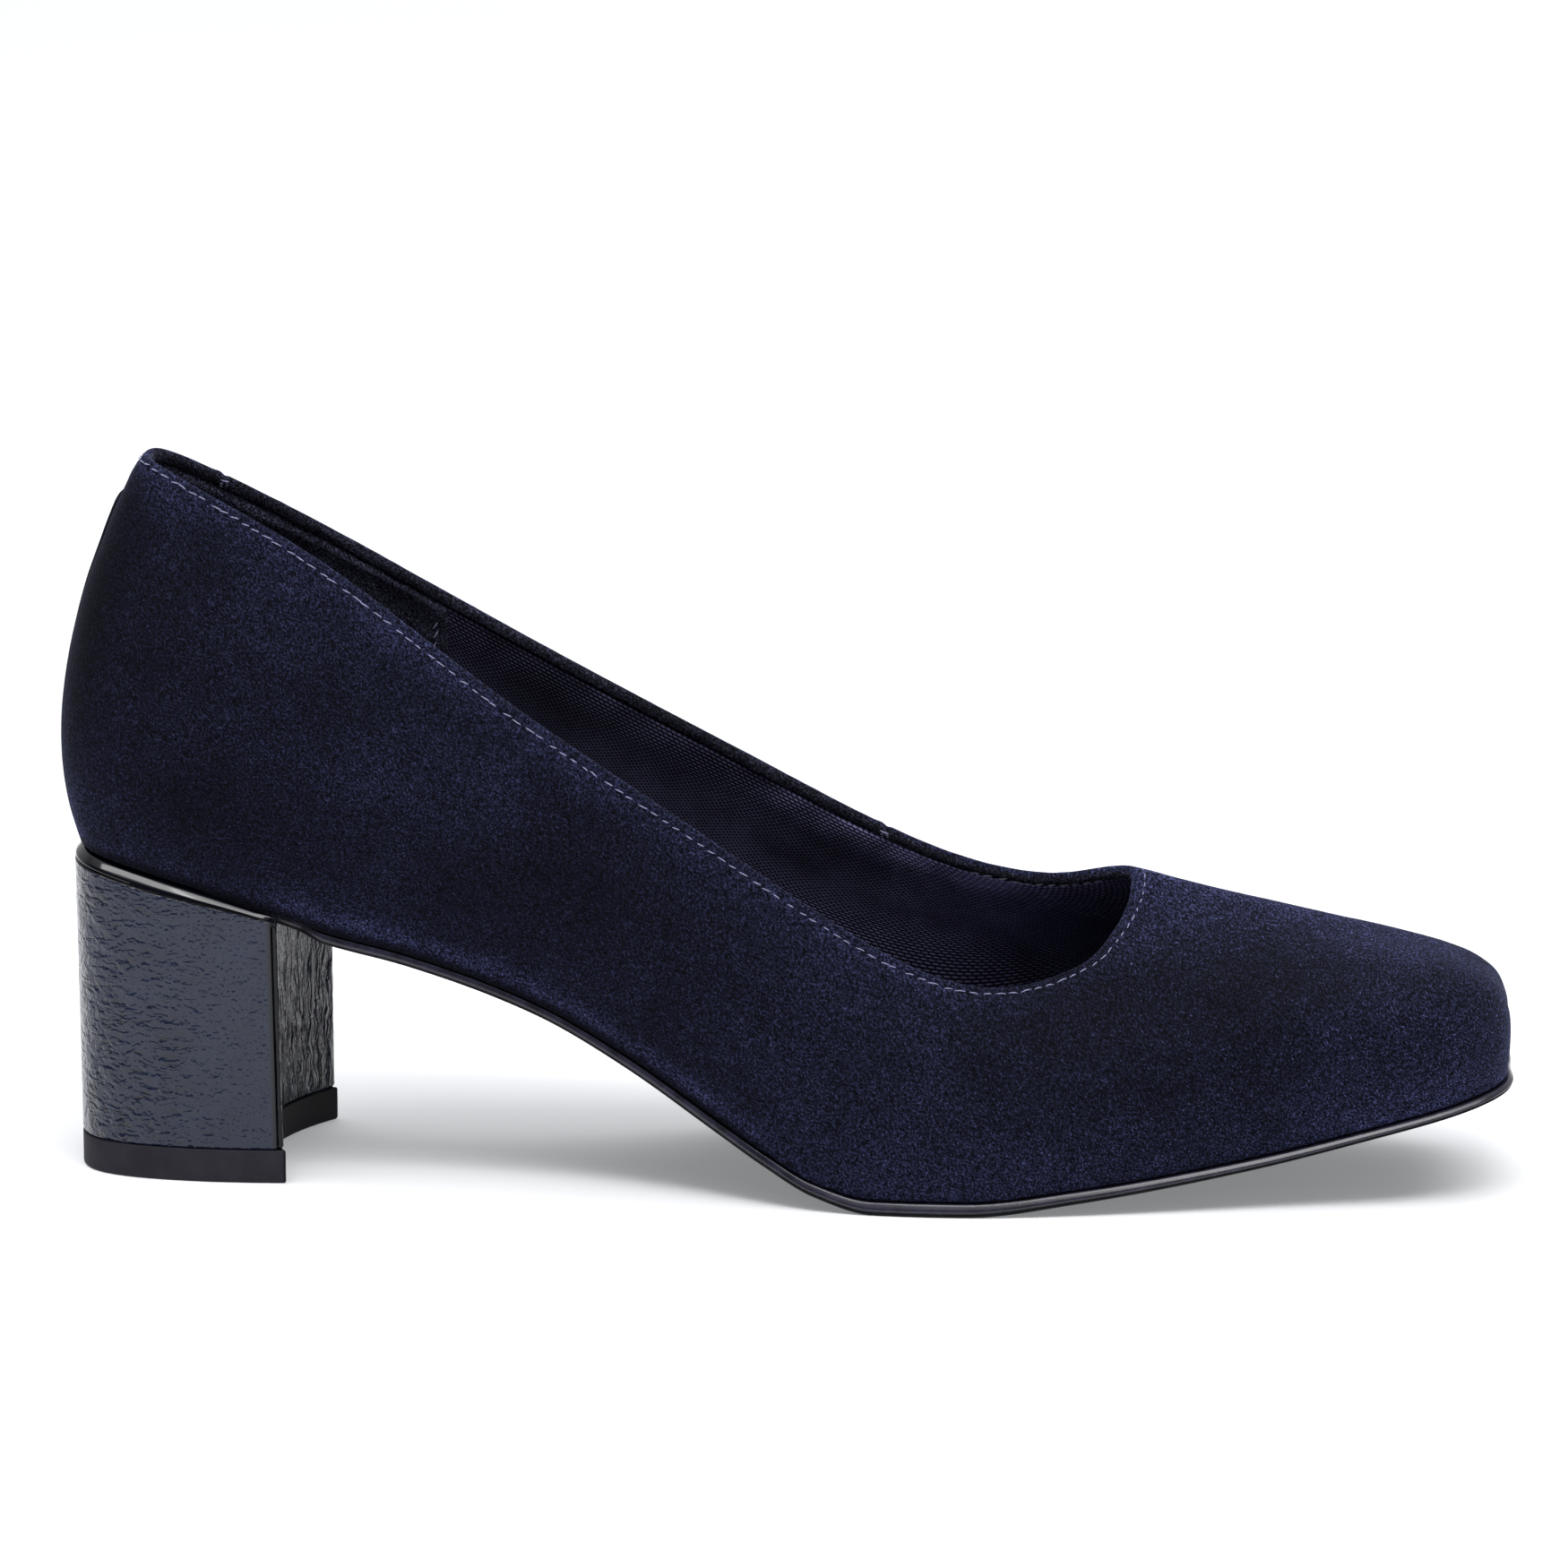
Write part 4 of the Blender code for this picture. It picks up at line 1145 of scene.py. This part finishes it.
def topline_stitches(down, lift, start, end, seed):
    """Stitches that follow the topline, as far below it as down() says, lifted off the outer face."""
    samples = 3000
    wander = 0.06
    lean, lean_spread = 0.10, 0.08
    shortest, longest = 0.75, 1.12
    fine = np.linspace(start, end, samples)
    line = wall_points(fine % 1.0, below_top(fine % 1.0, down(fine)[:, None]))[:, 0]
    u = even_stitches(fine, line, STITCH_PITCH)
    rng = np.random.default_rng(seed)
    drift = rng.normal(0.0, wander, (len(u), 1))
    u = u + rng.normal(0.0, wander, len(u)) * (u[1] - u[0])
    points, normal, across = wall_frame(u % 1.0, below_top(u % 1.0, down(u)[:, None] + drift))
    points, normal, across = points[:, 0], normal[:, 0], across[:, 0]
    tilt = rng.normal(lean, lean_spread, len(u))
    length = STITCH_LENGTH * rng.uniform(shortest, longest, len(u))
    side = 1.0 if lift > -SUEDE else -1.0
    return stitch_row(points + normal * lift, across, normal * side, length, tilt)


def grip_seam(side, rng):
    """Stitches down one end of the heel grip; the side is -1 for the medial end and 1 for the lateral."""
    from_end = 0.004
    top_down = 4.8
    low_v = 0.05
    pitch_v = 0.042
    on_grip = LINING_IN + 0.92
    at = np.full(1, side * (GRIP_REACH - from_end)) % 1.0
    top = below_top(at, np.array([top_down]))[0, 0]
    v = np.arange(top, low_v, -pitch_v)
    points, normal, across = (part[0] for part in wall_frame(at, v[None, :]))
    rising = unit(np.cross(normal, across))
    length = STITCH_LENGTH * rng.uniform(0.9, 1.06, len(v))
    inward = points - normal * on_grip
    return stitch_row(inward, rising, -normal, length, rng.normal(0.0, 0.05, len(v)))


def join_seam(join, rng):
    """Short slanting stitches, one below the other, that close a join of the topline band."""
    stitch_length = 1.5
    down = np.array([0.4, 0.8, 1.2, 1.6])
    at = np.full(1, join)
    v = below_top(at, down)[0]
    points, normal, across = (part[0] for part in wall_frame(at, v[None, :]))
    inward = points - normal * (2.0 * FOLD_RADIUS + STITCH_PROUD)
    length = np.full(len(v), stitch_length)
    return stitch_row(inward, across, -normal, length, rng.normal(0.5, 0.3, len(v)))


def add_stitches(pale, deep):
    """Topline stitches outside, their other side on the band, and the seams of grip and band."""
    outside = topline_stitches(stitch_depth, -STITCH_SUNK, 0.0, 1.0, seed=31)
    add_piece("topline_thread", *outside, pale, "suede")
    inside = topline_stitches(band_sewing_depth, -2.0 * FOLD_RADIUS - STITCH_PROUD, *BAND_SEWN, seed=32)
    add_piece("band_thread", *inside, deep, "suede")
    rng = np.random.default_rng(33)
    rows = [grip_seam(side, rng) for side in (-1.0, 1.0)]
    rows += [join_seam(join, rng) for join in BAND_JOINS]
    add_piece("lining_thread", *join_rows(rows), pale, "lining")


def inset_ring(u, inset, height):
    """Closed ring inside the feather by inset, at the height worked out from x."""
    plan, out = feather(u)
    plan = plan - out * np.broadcast_to(inset, len(u))[:, None]
    return np.column_stack([plan, height(plan[:, 0])])


def ring_faces(levels, count):
    """Quads between the rings of a stack whose points are held ring by ring."""
    order = np.arange(levels * count).reshape(levels, count).T.ravel()
    return order[grid_faces(count, levels, True, False)]


def add_sole_stack(name, rings, finish, slot, replaced):
    """Closed solid through rings that start at the back seam, with rungs across both ends."""
    levels, count = len(rings), len(rings[0])
    top_quads, top_ends = ladder_faces(count, 0)
    low_quads, low_ends = ladder_faces(count, (levels - 1) * count)
    face_sets = [ring_faces(levels, count), top_quads, low_quads, top_ends, low_ends]
    piece = add_piece(name, np.concatenate(rings), face_sets, finish, slot, [replaced])
    turn_outwards(piece, sharp_degrees=50.0)
    return piece


def add_outsole(bead_finish, tread_finish):
    """Thin sole: a bead, a groove and a lip carried round the edge between two flat faces.

    Behind the ball the edge's profile is shallower.
    """
    columns = 480
    u = np.arange(columns) / columns
    plan, _ = feather(u)
    proud = even_curve(SOLE_X, SOLE_PROUD, plan[:, 0])
    beaded = 0.25 + 0.75 * smooth_step(112.0, 142.0, plan[:, 0])
    rings = []
    for row in SOLE_EDGE:
        inset = row.inset * beaded - proud
        rings.append(inset_ring(u, inset, lambda x: sole_height(x, 1.0 - row.depth)))
    piece = add_sole_stack("sole_black", rings, bead_finish, "sole", "outsole")
    piece.data.materials.append(tread_finish)
    in_tread = np.ones(len(piece.data.polygons), bool)
    edge_rows = len(SOLE_EDGE) - 1
    in_tread[:columns * edge_rows] = np.tile(np.arange(edge_rows) >= BEAD_ROWS, columns)
    piece.data.polygons.foreach_set("material_index", in_tread.astype(np.int32))


def add_insole(finish):
    """Insole and sock with a rounded upper edge, and a thin flange that runs under the suede."""
    columns = 360
    u = np.arange(columns) / columns
    rings = []
    for row in INSOLE_EDGE:
        lift = INSOLE_THICK * row.depth
        rings.append(inset_ring(u, INSOLE_CLEAR + row.inset, lambda x: feather_height(x) + lift))
    add_sole_stack("insole_sock", rings, finish, "lining", "insole")


def resample(line, start, end, count):
    """Points at even lengths along a line, trimmed by start and end."""
    length = np.concatenate([[0.0], np.cumsum(np.linalg.norm(np.diff(line, axis=0), axis=1))])
    at = np.linspace(start, length[-1] - end, count)
    return np.column_stack([np.interp(at, length, line[:, 0]), np.interp(at, length, line[:, 1])])


def u_at(x, side):
    """Share of the way round where the feather of one side (-1 lateral, 1 medial) reaches x."""
    before_toe = 0.45
    samples = 400
    shares = np.linspace(0.0, before_toe, samples)
    reach = feather(-side * shares)[0][:, 0]
    return -side * float(np.interp(x, reach, shares))


# Points of a heel outline: round the seat, in each front corner and across the breast.
SEAT_POINTS = 240
CORNER_POINTS = 21
BREAST_POINTS = SEAT_POINTS - 2 * CORNER_POINTS


def heel_outline(inset, share, radius, seam_depth=0.0):
    """Closed plan of the heel: the seat curve and the hollow breast, joined by rounded corners.

    Each corner is a quadratic curve from the trimmed side to the trimmed breast, pulled to the
    sharp corner between them. A seam sinks into it next to the side.
    """
    dense = 500
    seam_at, seam_width = 0.16, 0.07
    u = np.linspace(u_at(HEEL_FRONT_LATERAL, -1), u_at(HEEL_FRONT_MEDIAL, 1), dense)
    plan, out = feather(u)
    inset = np.interp(np.linspace(0.0, 1.0, dense), np.linspace(0.0, 1.0, len(inset)), inset)
    curve = plan - out * (inset - RIM_PROUD)[:, None]
    curve[:, 0] += HEEL_BACK_STEP * (1.0 - share)
    curve[:, 1] *= 1.0 - HEEL_NARROWING * (1.0 - share)
    across = np.linspace(1.0, 0.0, dense)
    breast = curve[0] + (curve[-1] - curve[0]) * across[:, None]
    breast[:, 0] -= BREAST_DEPTH * 4.0 * across * (1.0 - across)
    side = resample(curve, radius, radius, SEAT_POINTS)
    front = resample(breast, radius, radius, BREAST_POINTS)
    t = np.linspace(0.0, 1.0, CORNER_POINTS + 2)[1:-1, None]
    medial = (1 - t) ** 2 * side[-1] + 2 * t * (1 - t) * curve[-1] + t**2 * front[0]
    lateral = (1 - t) ** 2 * front[-1] + 2 * t * (1 - t) * curve[0] + t**2 * side[0]
    seam = seam_depth * bell(np.linspace(0.0, 1.0, CORNER_POINTS), seam_at, seam_width)[:, None]
    middle = np.mean(curve, axis=0)
    medial += seam * unit(middle - medial)
    lateral += seam[::-1] * unit(middle - lateral)
    return np.concatenate([side, medial, front, lateral])


def add_heel_stack(name, rings, finish, slot, replaced):
    """Closed solid through heel outlines, with rungs from the seat curve to the breast at both ends."""
    levels, count = len(rings), len(rings[0])
    k = np.arange(count // 2 - 1)
    rungs = np.stack([k, k + 1, count - k - 2, count - k - 1], axis=1)
    face_sets = [ring_faces(levels, count), rungs, rungs + (levels - 1) * count]
    piece = add_piece(name, np.concatenate(rings), face_sets, finish, slot, [replaced])
    turn_outwards(piece, sharp_degrees=55.0)
    return piece


def heel_lengths():
    """Lengths round the heel's outline, which of its points lie on the breast, and the whole length."""
    plan = heel_outline(np.zeros(2), 0.5, FRONT_EDGE_RADIUS)
    run = np.linalg.norm(np.roll(plan, -1, axis=0) - plan, axis=1)
    along = np.concatenate([[0.0], np.cumsum(run)[:-1]])
    on_breast = np.arange(len(plan)) >= SEAT_POINTS
    total = along[-1] + run[-1]
    return along, on_breast, total


def crinkle_swell(along, height, on_breast):
    """Slow swells of the patent under its crinkles, level on the sides and upright in the breast."""
    level = wave_form(LEVEL_SWELLS, along, height)
    upright = wave_form(UPRIGHT_SWELLS, along, height)
    return np.where(on_breast, upright, level)


def crinkle_strength(along, height, on_breast, seat_length):
    """How crinkled the patent is: most near the back corners and the foot, least by the front.

    In the breast it grows from the seat down to the foot.
    """
    to_front = np.abs(2.0 * along / seat_length - 1.0)
    low = 0.65 + 0.35 * smooth_step(42.0, 10.0, height)
    side = 0.12 + 0.88 * smooth_step(0.95, 0.46, to_front) * low
    breast = 0.42 + 1.13 * smooth_step(38.0, 14.0, height)
    return np.where(on_breast, breast, side)


def add_heel(finish, breast_painted_shade_finish):
    """Block heel: pocket for the sole, rolled rim, crinkled sides and breast, eased foot.

    Outlines are stacked from the pocket over the rim and down to the foot. The rim is slimmer towards
    the front, and in the breast its rows sink below the sole.
    """
    seat_clear = 0.12
    row_sink = 0.12
    pocket_back = 2.5
    side_levels = 110
    foot_ease, foot_ease_height = 0.45, 0.9
    seat_share = np.linspace(0.0, 1.0, 200)
    foot = LIFT_HEIGHT + 0.02
    along, on_breast, total = heel_lengths()
    seat_length = along[SEAT_POINTS]
    on_seat_edge = np.minimum(along, seat_length - along)
    on_breast_edge = np.minimum(along - seat_length, total - along)
    from_edge = np.where(on_breast, on_breast_edge, on_seat_edge)
    breast_dip = np.where(on_breast, smooth_step(1.2, 2.4, from_edge), 0.0)
    seat_x = heel_outline(np.zeros(2), 1.0, FRONT_EDGE_RADIUS)[:, 0]
    beside = np.where(on_breast, smooth_step(3.0, 0.0, from_edge), 1.0)
    slim = 1.0 - RIM_SLIM * smooth_step(RIM_SLIM_FROM, HEEL_FRONT_LATERAL, seat_x) * beside
    rim_width = np.clip(np.minimum(seat_share, 1.0 - seat_share) / RIM_FADE, 0.0, 1.0)
    rim_width = rim_width * np.interp(seat_share, np.linspace(0.0, 1.0, SEAT_POINTS), slim[:SEAT_POINTS])

    def top_height(plan, drop):
        """Height of a row: its drop below the crest, slimmed, or in the breast below the sole."""
        crest = sole_height(plan[:, 0], 1.0) - drop * slim
        floor = np.minimum(sole_height(plan[:, 0], 0.0) - seat_clear - row_sink * drop, crest)
        return crest + (floor - crest) * breast_dip

    pocket = heel_outline(np.full(2, RIM_WIDTH + RIM_PROUD), 1.0, FRONT_EDGE_RADIUS)
    pocket[SEAT_POINTS:, 0] -= pocket_back
    rings = [np.column_stack([pocket, sole_height(pocket[:, 0], 0.0) - seat_clear])]
    for row in HEEL_RIM:
        plan = heel_outline(row.inset * rim_width, 1.0, FRONT_EDGE_RADIUS)
        rings.append(np.column_stack([plan, top_height(plan, row.drop)]))
    for level in np.linspace(1.0, 0.0, side_levels)[1:]:
        plan = heel_outline(np.zeros(2), level, FRONT_EDGE_RADIUS, FRONT_SEAM_DEPTH)
        ahead = np.roll(plan, -1, axis=0) - np.roll(plan, 1, axis=0)
        out = unit(np.column_stack([-ahead[:, 1], ahead[:, 0]]))
        crest = top_height(plan, HEEL_RIM[-1].drop)
        height = foot + (crest - foot) * level
        calm = smooth_step(0.0, 2.5, height - foot) * smooth_step(0.0, 2.0, crest - height)
        form = crinkle_swell(along, height, on_breast) * calm * smooth_step(0.0, 2.0, from_edge)
        eased_foot = -foot_ease * smooth_step(foot_ease_height, 0.0, height - foot) ** 2
        rings.append(np.column_stack([plan + out * (form + eased_foot)[:, None], height]))
    piece = add_heel_stack("heel_patent", rings, finish, "patent", "heel")

    points = np.concatenate(rings)
    lengths = np.tile(along, len(rings))
    breast = np.tile(on_breast, len(rings))
    calm = np.tile(smooth_step(0.3, 2.2, from_edge), len(rings))
    below_rim = np.arange(len(points)) >= len(HEEL_RIM) * len(along)
    strength = crinkle_strength(lengths, points[:, 2], breast, seat_length) * calm * below_rim
    add_shares(piece, "crinkle", strength)
    # Painted shade on the rim and the front edges: a deeper colour there, and no peel.
    flat = np.where(on_breast, smooth_step(2.0, 3.0, from_edge), smooth_step(0.1, 0.6, from_edge))
    add_shares(piece, "peel_and_unshaded", below_rim * np.tile(flat, len(rings)))
    corners = np.zeros(len(piece.data.loops), np.int32)
    piece.data.loops.foreach_get("vertex_index", corners)
    # The breast's faces take the patent's darker copy, its painted shade.
    piece.data.materials.append(breast_painted_shade_finish)
    in_breast = np.all(breast[corners].reshape(-1, 4), axis=1)
    piece.data.polygons.foreach_set("material_index", in_breast.astype(np.int32))
    across = np.where(breast, points[:, 2], lengths)
    over = np.where(breast, lengths, points[:, 2])
    add_map(piece, "crinkle_map", np.column_stack([across, over])[corners])


def add_lift(finish):
    """Top piece under the heel, with small rounded edges, dusty all round, and with painted shade on
    its face inside the breast.
    """
    radius = 0.45
    front_radius = 0.6
    shaded = 0.15
    quarter = np.linspace(0.0, 0.5 * np.pi, 6)
    rows = [(LIFT_HEIGHT, 0.9), (LIFT_HEIGHT, 0.3), (LIFT_HEIGHT - 0.1, 0.08), (LIFT_HEIGHT - 0.3, 0.0)]
    rows += [(radius * (1.0 - np.sin(t)), radius * (1.0 - np.cos(t))) for t in quarter]
    rows += [(0.0, 1.2)]
    rings = []
    for height, inset in rows:
        plan = heel_outline(np.full(2, inset), 0.0, front_radius)
        plan[SEAT_POINTS:, 0] -= inset
        rings.append(np.column_stack([plan, np.full(len(plan), height)]))
    piece = add_heel_stack("lift_rubber", rings, finish, "lift", "top_piece")
    on_breast = np.arange(len(rings[0])) >= SEAT_POINTS
    # Painted shade: the face inside the breast is darker.
    add_shares(piece, "unshaded", np.tile(np.where(on_breast, shaded, 1.0), len(rings)))


def add_camera():
    """Camera at the photograph's angle to the shoe."""
    yaw, pitch = np.radians(CAMERA_YAW), np.radians(CAMERA_PITCH)
    back = np.array([np.sin(yaw) * np.cos(pitch), -np.cos(yaw) * np.cos(pitch), np.sin(pitch)])
    data = bpy.data.cameras.new("camera")
    data.sensor_width = CAMERA_SENSOR
    data.lens = CAMERA_LENS
    data.clip_end = CAMERA_REACH
    camera = bpy.data.objects.new("camera", data)
    camera.location = to_row(CAMERA_TARGET) + back * CAMERA_DISTANCE
    camera.rotation_euler = (0.5 * np.pi - pitch, 0.0, yaw)
    bpy.context.scene.collection.objects.link(camera)
    bpy.context.scene.camera = camera


def add_softbox(box):
    """Rectangular soft light at its place, turned to its aim."""
    data = bpy.data.lights.new(box.name, "AREA")
    data.shape = "RECTANGLE"
    data.size = box.width
    data.size_y = box.depth
    data.energy = box.power
    data.color = box.colour
    light = bpy.data.objects.new(box.name, data)
    light.location = box.place
    way = np.array(box.aim) - np.array(box.place)
    flat = np.hypot(way[0], way[1])
    light.rotation_euler = (np.arctan2(flat, -way[2]), 0.0, np.arctan2(way[1], way[0]) - 0.5 * np.pi)
    bpy.context.scene.collection.objects.link(light)


def add_floor():
    """Plain pale floor that glows a little, so that it stays pale all round."""
    half = 8.0
    sockets = {
        "Base Color": (0.81, 0.81, 0.82, 1.0),
        "Roughness": 0.9,
        "Specular IOR Level": 0.1,
        "Emission Color": (0.94, 0.98, 1.0, 1.0),
        "Emission Strength": 0.22,
    }
    material, _, _ = new_finish("pale_floor", sockets)
    mesh = bpy.data.meshes.new("floor")
    corners = [(-half, -half, 0.0), (half, -half, 0.0), (half, half, 0.0), (-half, half, 0.0)]
    mesh.from_pydata(corners, [], [(0, 1, 2, 3)])
    mesh.materials.append(material)
    floor = bpy.data.objects.new("floor", mesh)
    bpy.context.scene.collection.objects.link(floor)


def add_studio():
    """Floor, a sky that is bright overhead, dim at the horizon and paler behind, and soft boxes."""
    add_floor()
    world = bpy.data.worlds.new("studio")
    world.use_nodes = True
    tree = world.node_tree
    place = add_node(tree, "TexCoord")
    way = add_node(tree, "SeparateXYZ", {"Vector": place.outputs["Generated"]})
    overhead = spread(tree, way.outputs[2], 0.50, 0.90)
    behind = spread(tree, way.outputs[1], 0.0, 0.50, 0.0, 0.40)
    shade = combine(tree, "MAXIMUM", overhead, behind)
    tree.links.new(tint(tree, shade, *SKY_TONES), tree.nodes["Background"].inputs["Color"])
    bpy.context.scene.world = world
    for box in SOFT_BOXES:
        add_softbox(box)
    view = bpy.context.scene.view_settings
    view.view_transform = "Standard"
    view.look = "None"


def main():
    """Dress the frame, then light it."""
    suede = suede_finish("navy_suede", SUEDE_TONES, sheen=0.06)
    grip = suede_finish("heel_grip_suede", GRIP_TONES, sheen=0.07)
    pale_thread = thread_finish("pale_thread", PALE_THREAD)
    deep_thread = thread_finish("deep_thread", DEEP_THREAD)
    # The band is a greyer copy of the suede: painted shade and painted back-light.
    band = suede_finish("navy_suede_band_painted_shade", BAND_PAINTED_SHADE_TONES, sheen=0.06)
    add_upper(suede, band)
    add_lining(twill_finish(TWILL_TONES))
    add_heel_grip(grip)
    add_back_strip(suede)
    add_stitches(pale_thread, deep_thread)
    add_insole(sock_finish(SOCK_TONES))
    bead = sole_finish("black_sole_bead", BEAD_PAINTED_REFLECTION_TONES, roughness=0.22, gloss=0.5)
    tread = sole_finish("black_sole_tread", TREAD_TONES, roughness=0.5, gloss=0.12)
    add_outsole(bead, tread)
    patent = patent_finish(
        "navy_patent", PATENT_TONES, gloss=0.46, ridge_size=1.5, ridge_depth=0.46, dent_stretch=0.32
    )
    # A second patent for the breast: its darker colour and lower gloss paint shade, and its crinkles are set
    # finer.
    breast_patent_painted_shade = patent_finish(
        "navy_patent_breast_painted_shade", BREAST_PAINTED_SHADE_TONES, gloss=0.27, ridge_size=1.25, ridge_depth=0.70, dent_stretch=0.17
    )
    add_heel(patent, breast_patent_painted_shade)
    add_lift(lift_finish(LIFT_TONES))
    add_camera()
    add_studio()


main()
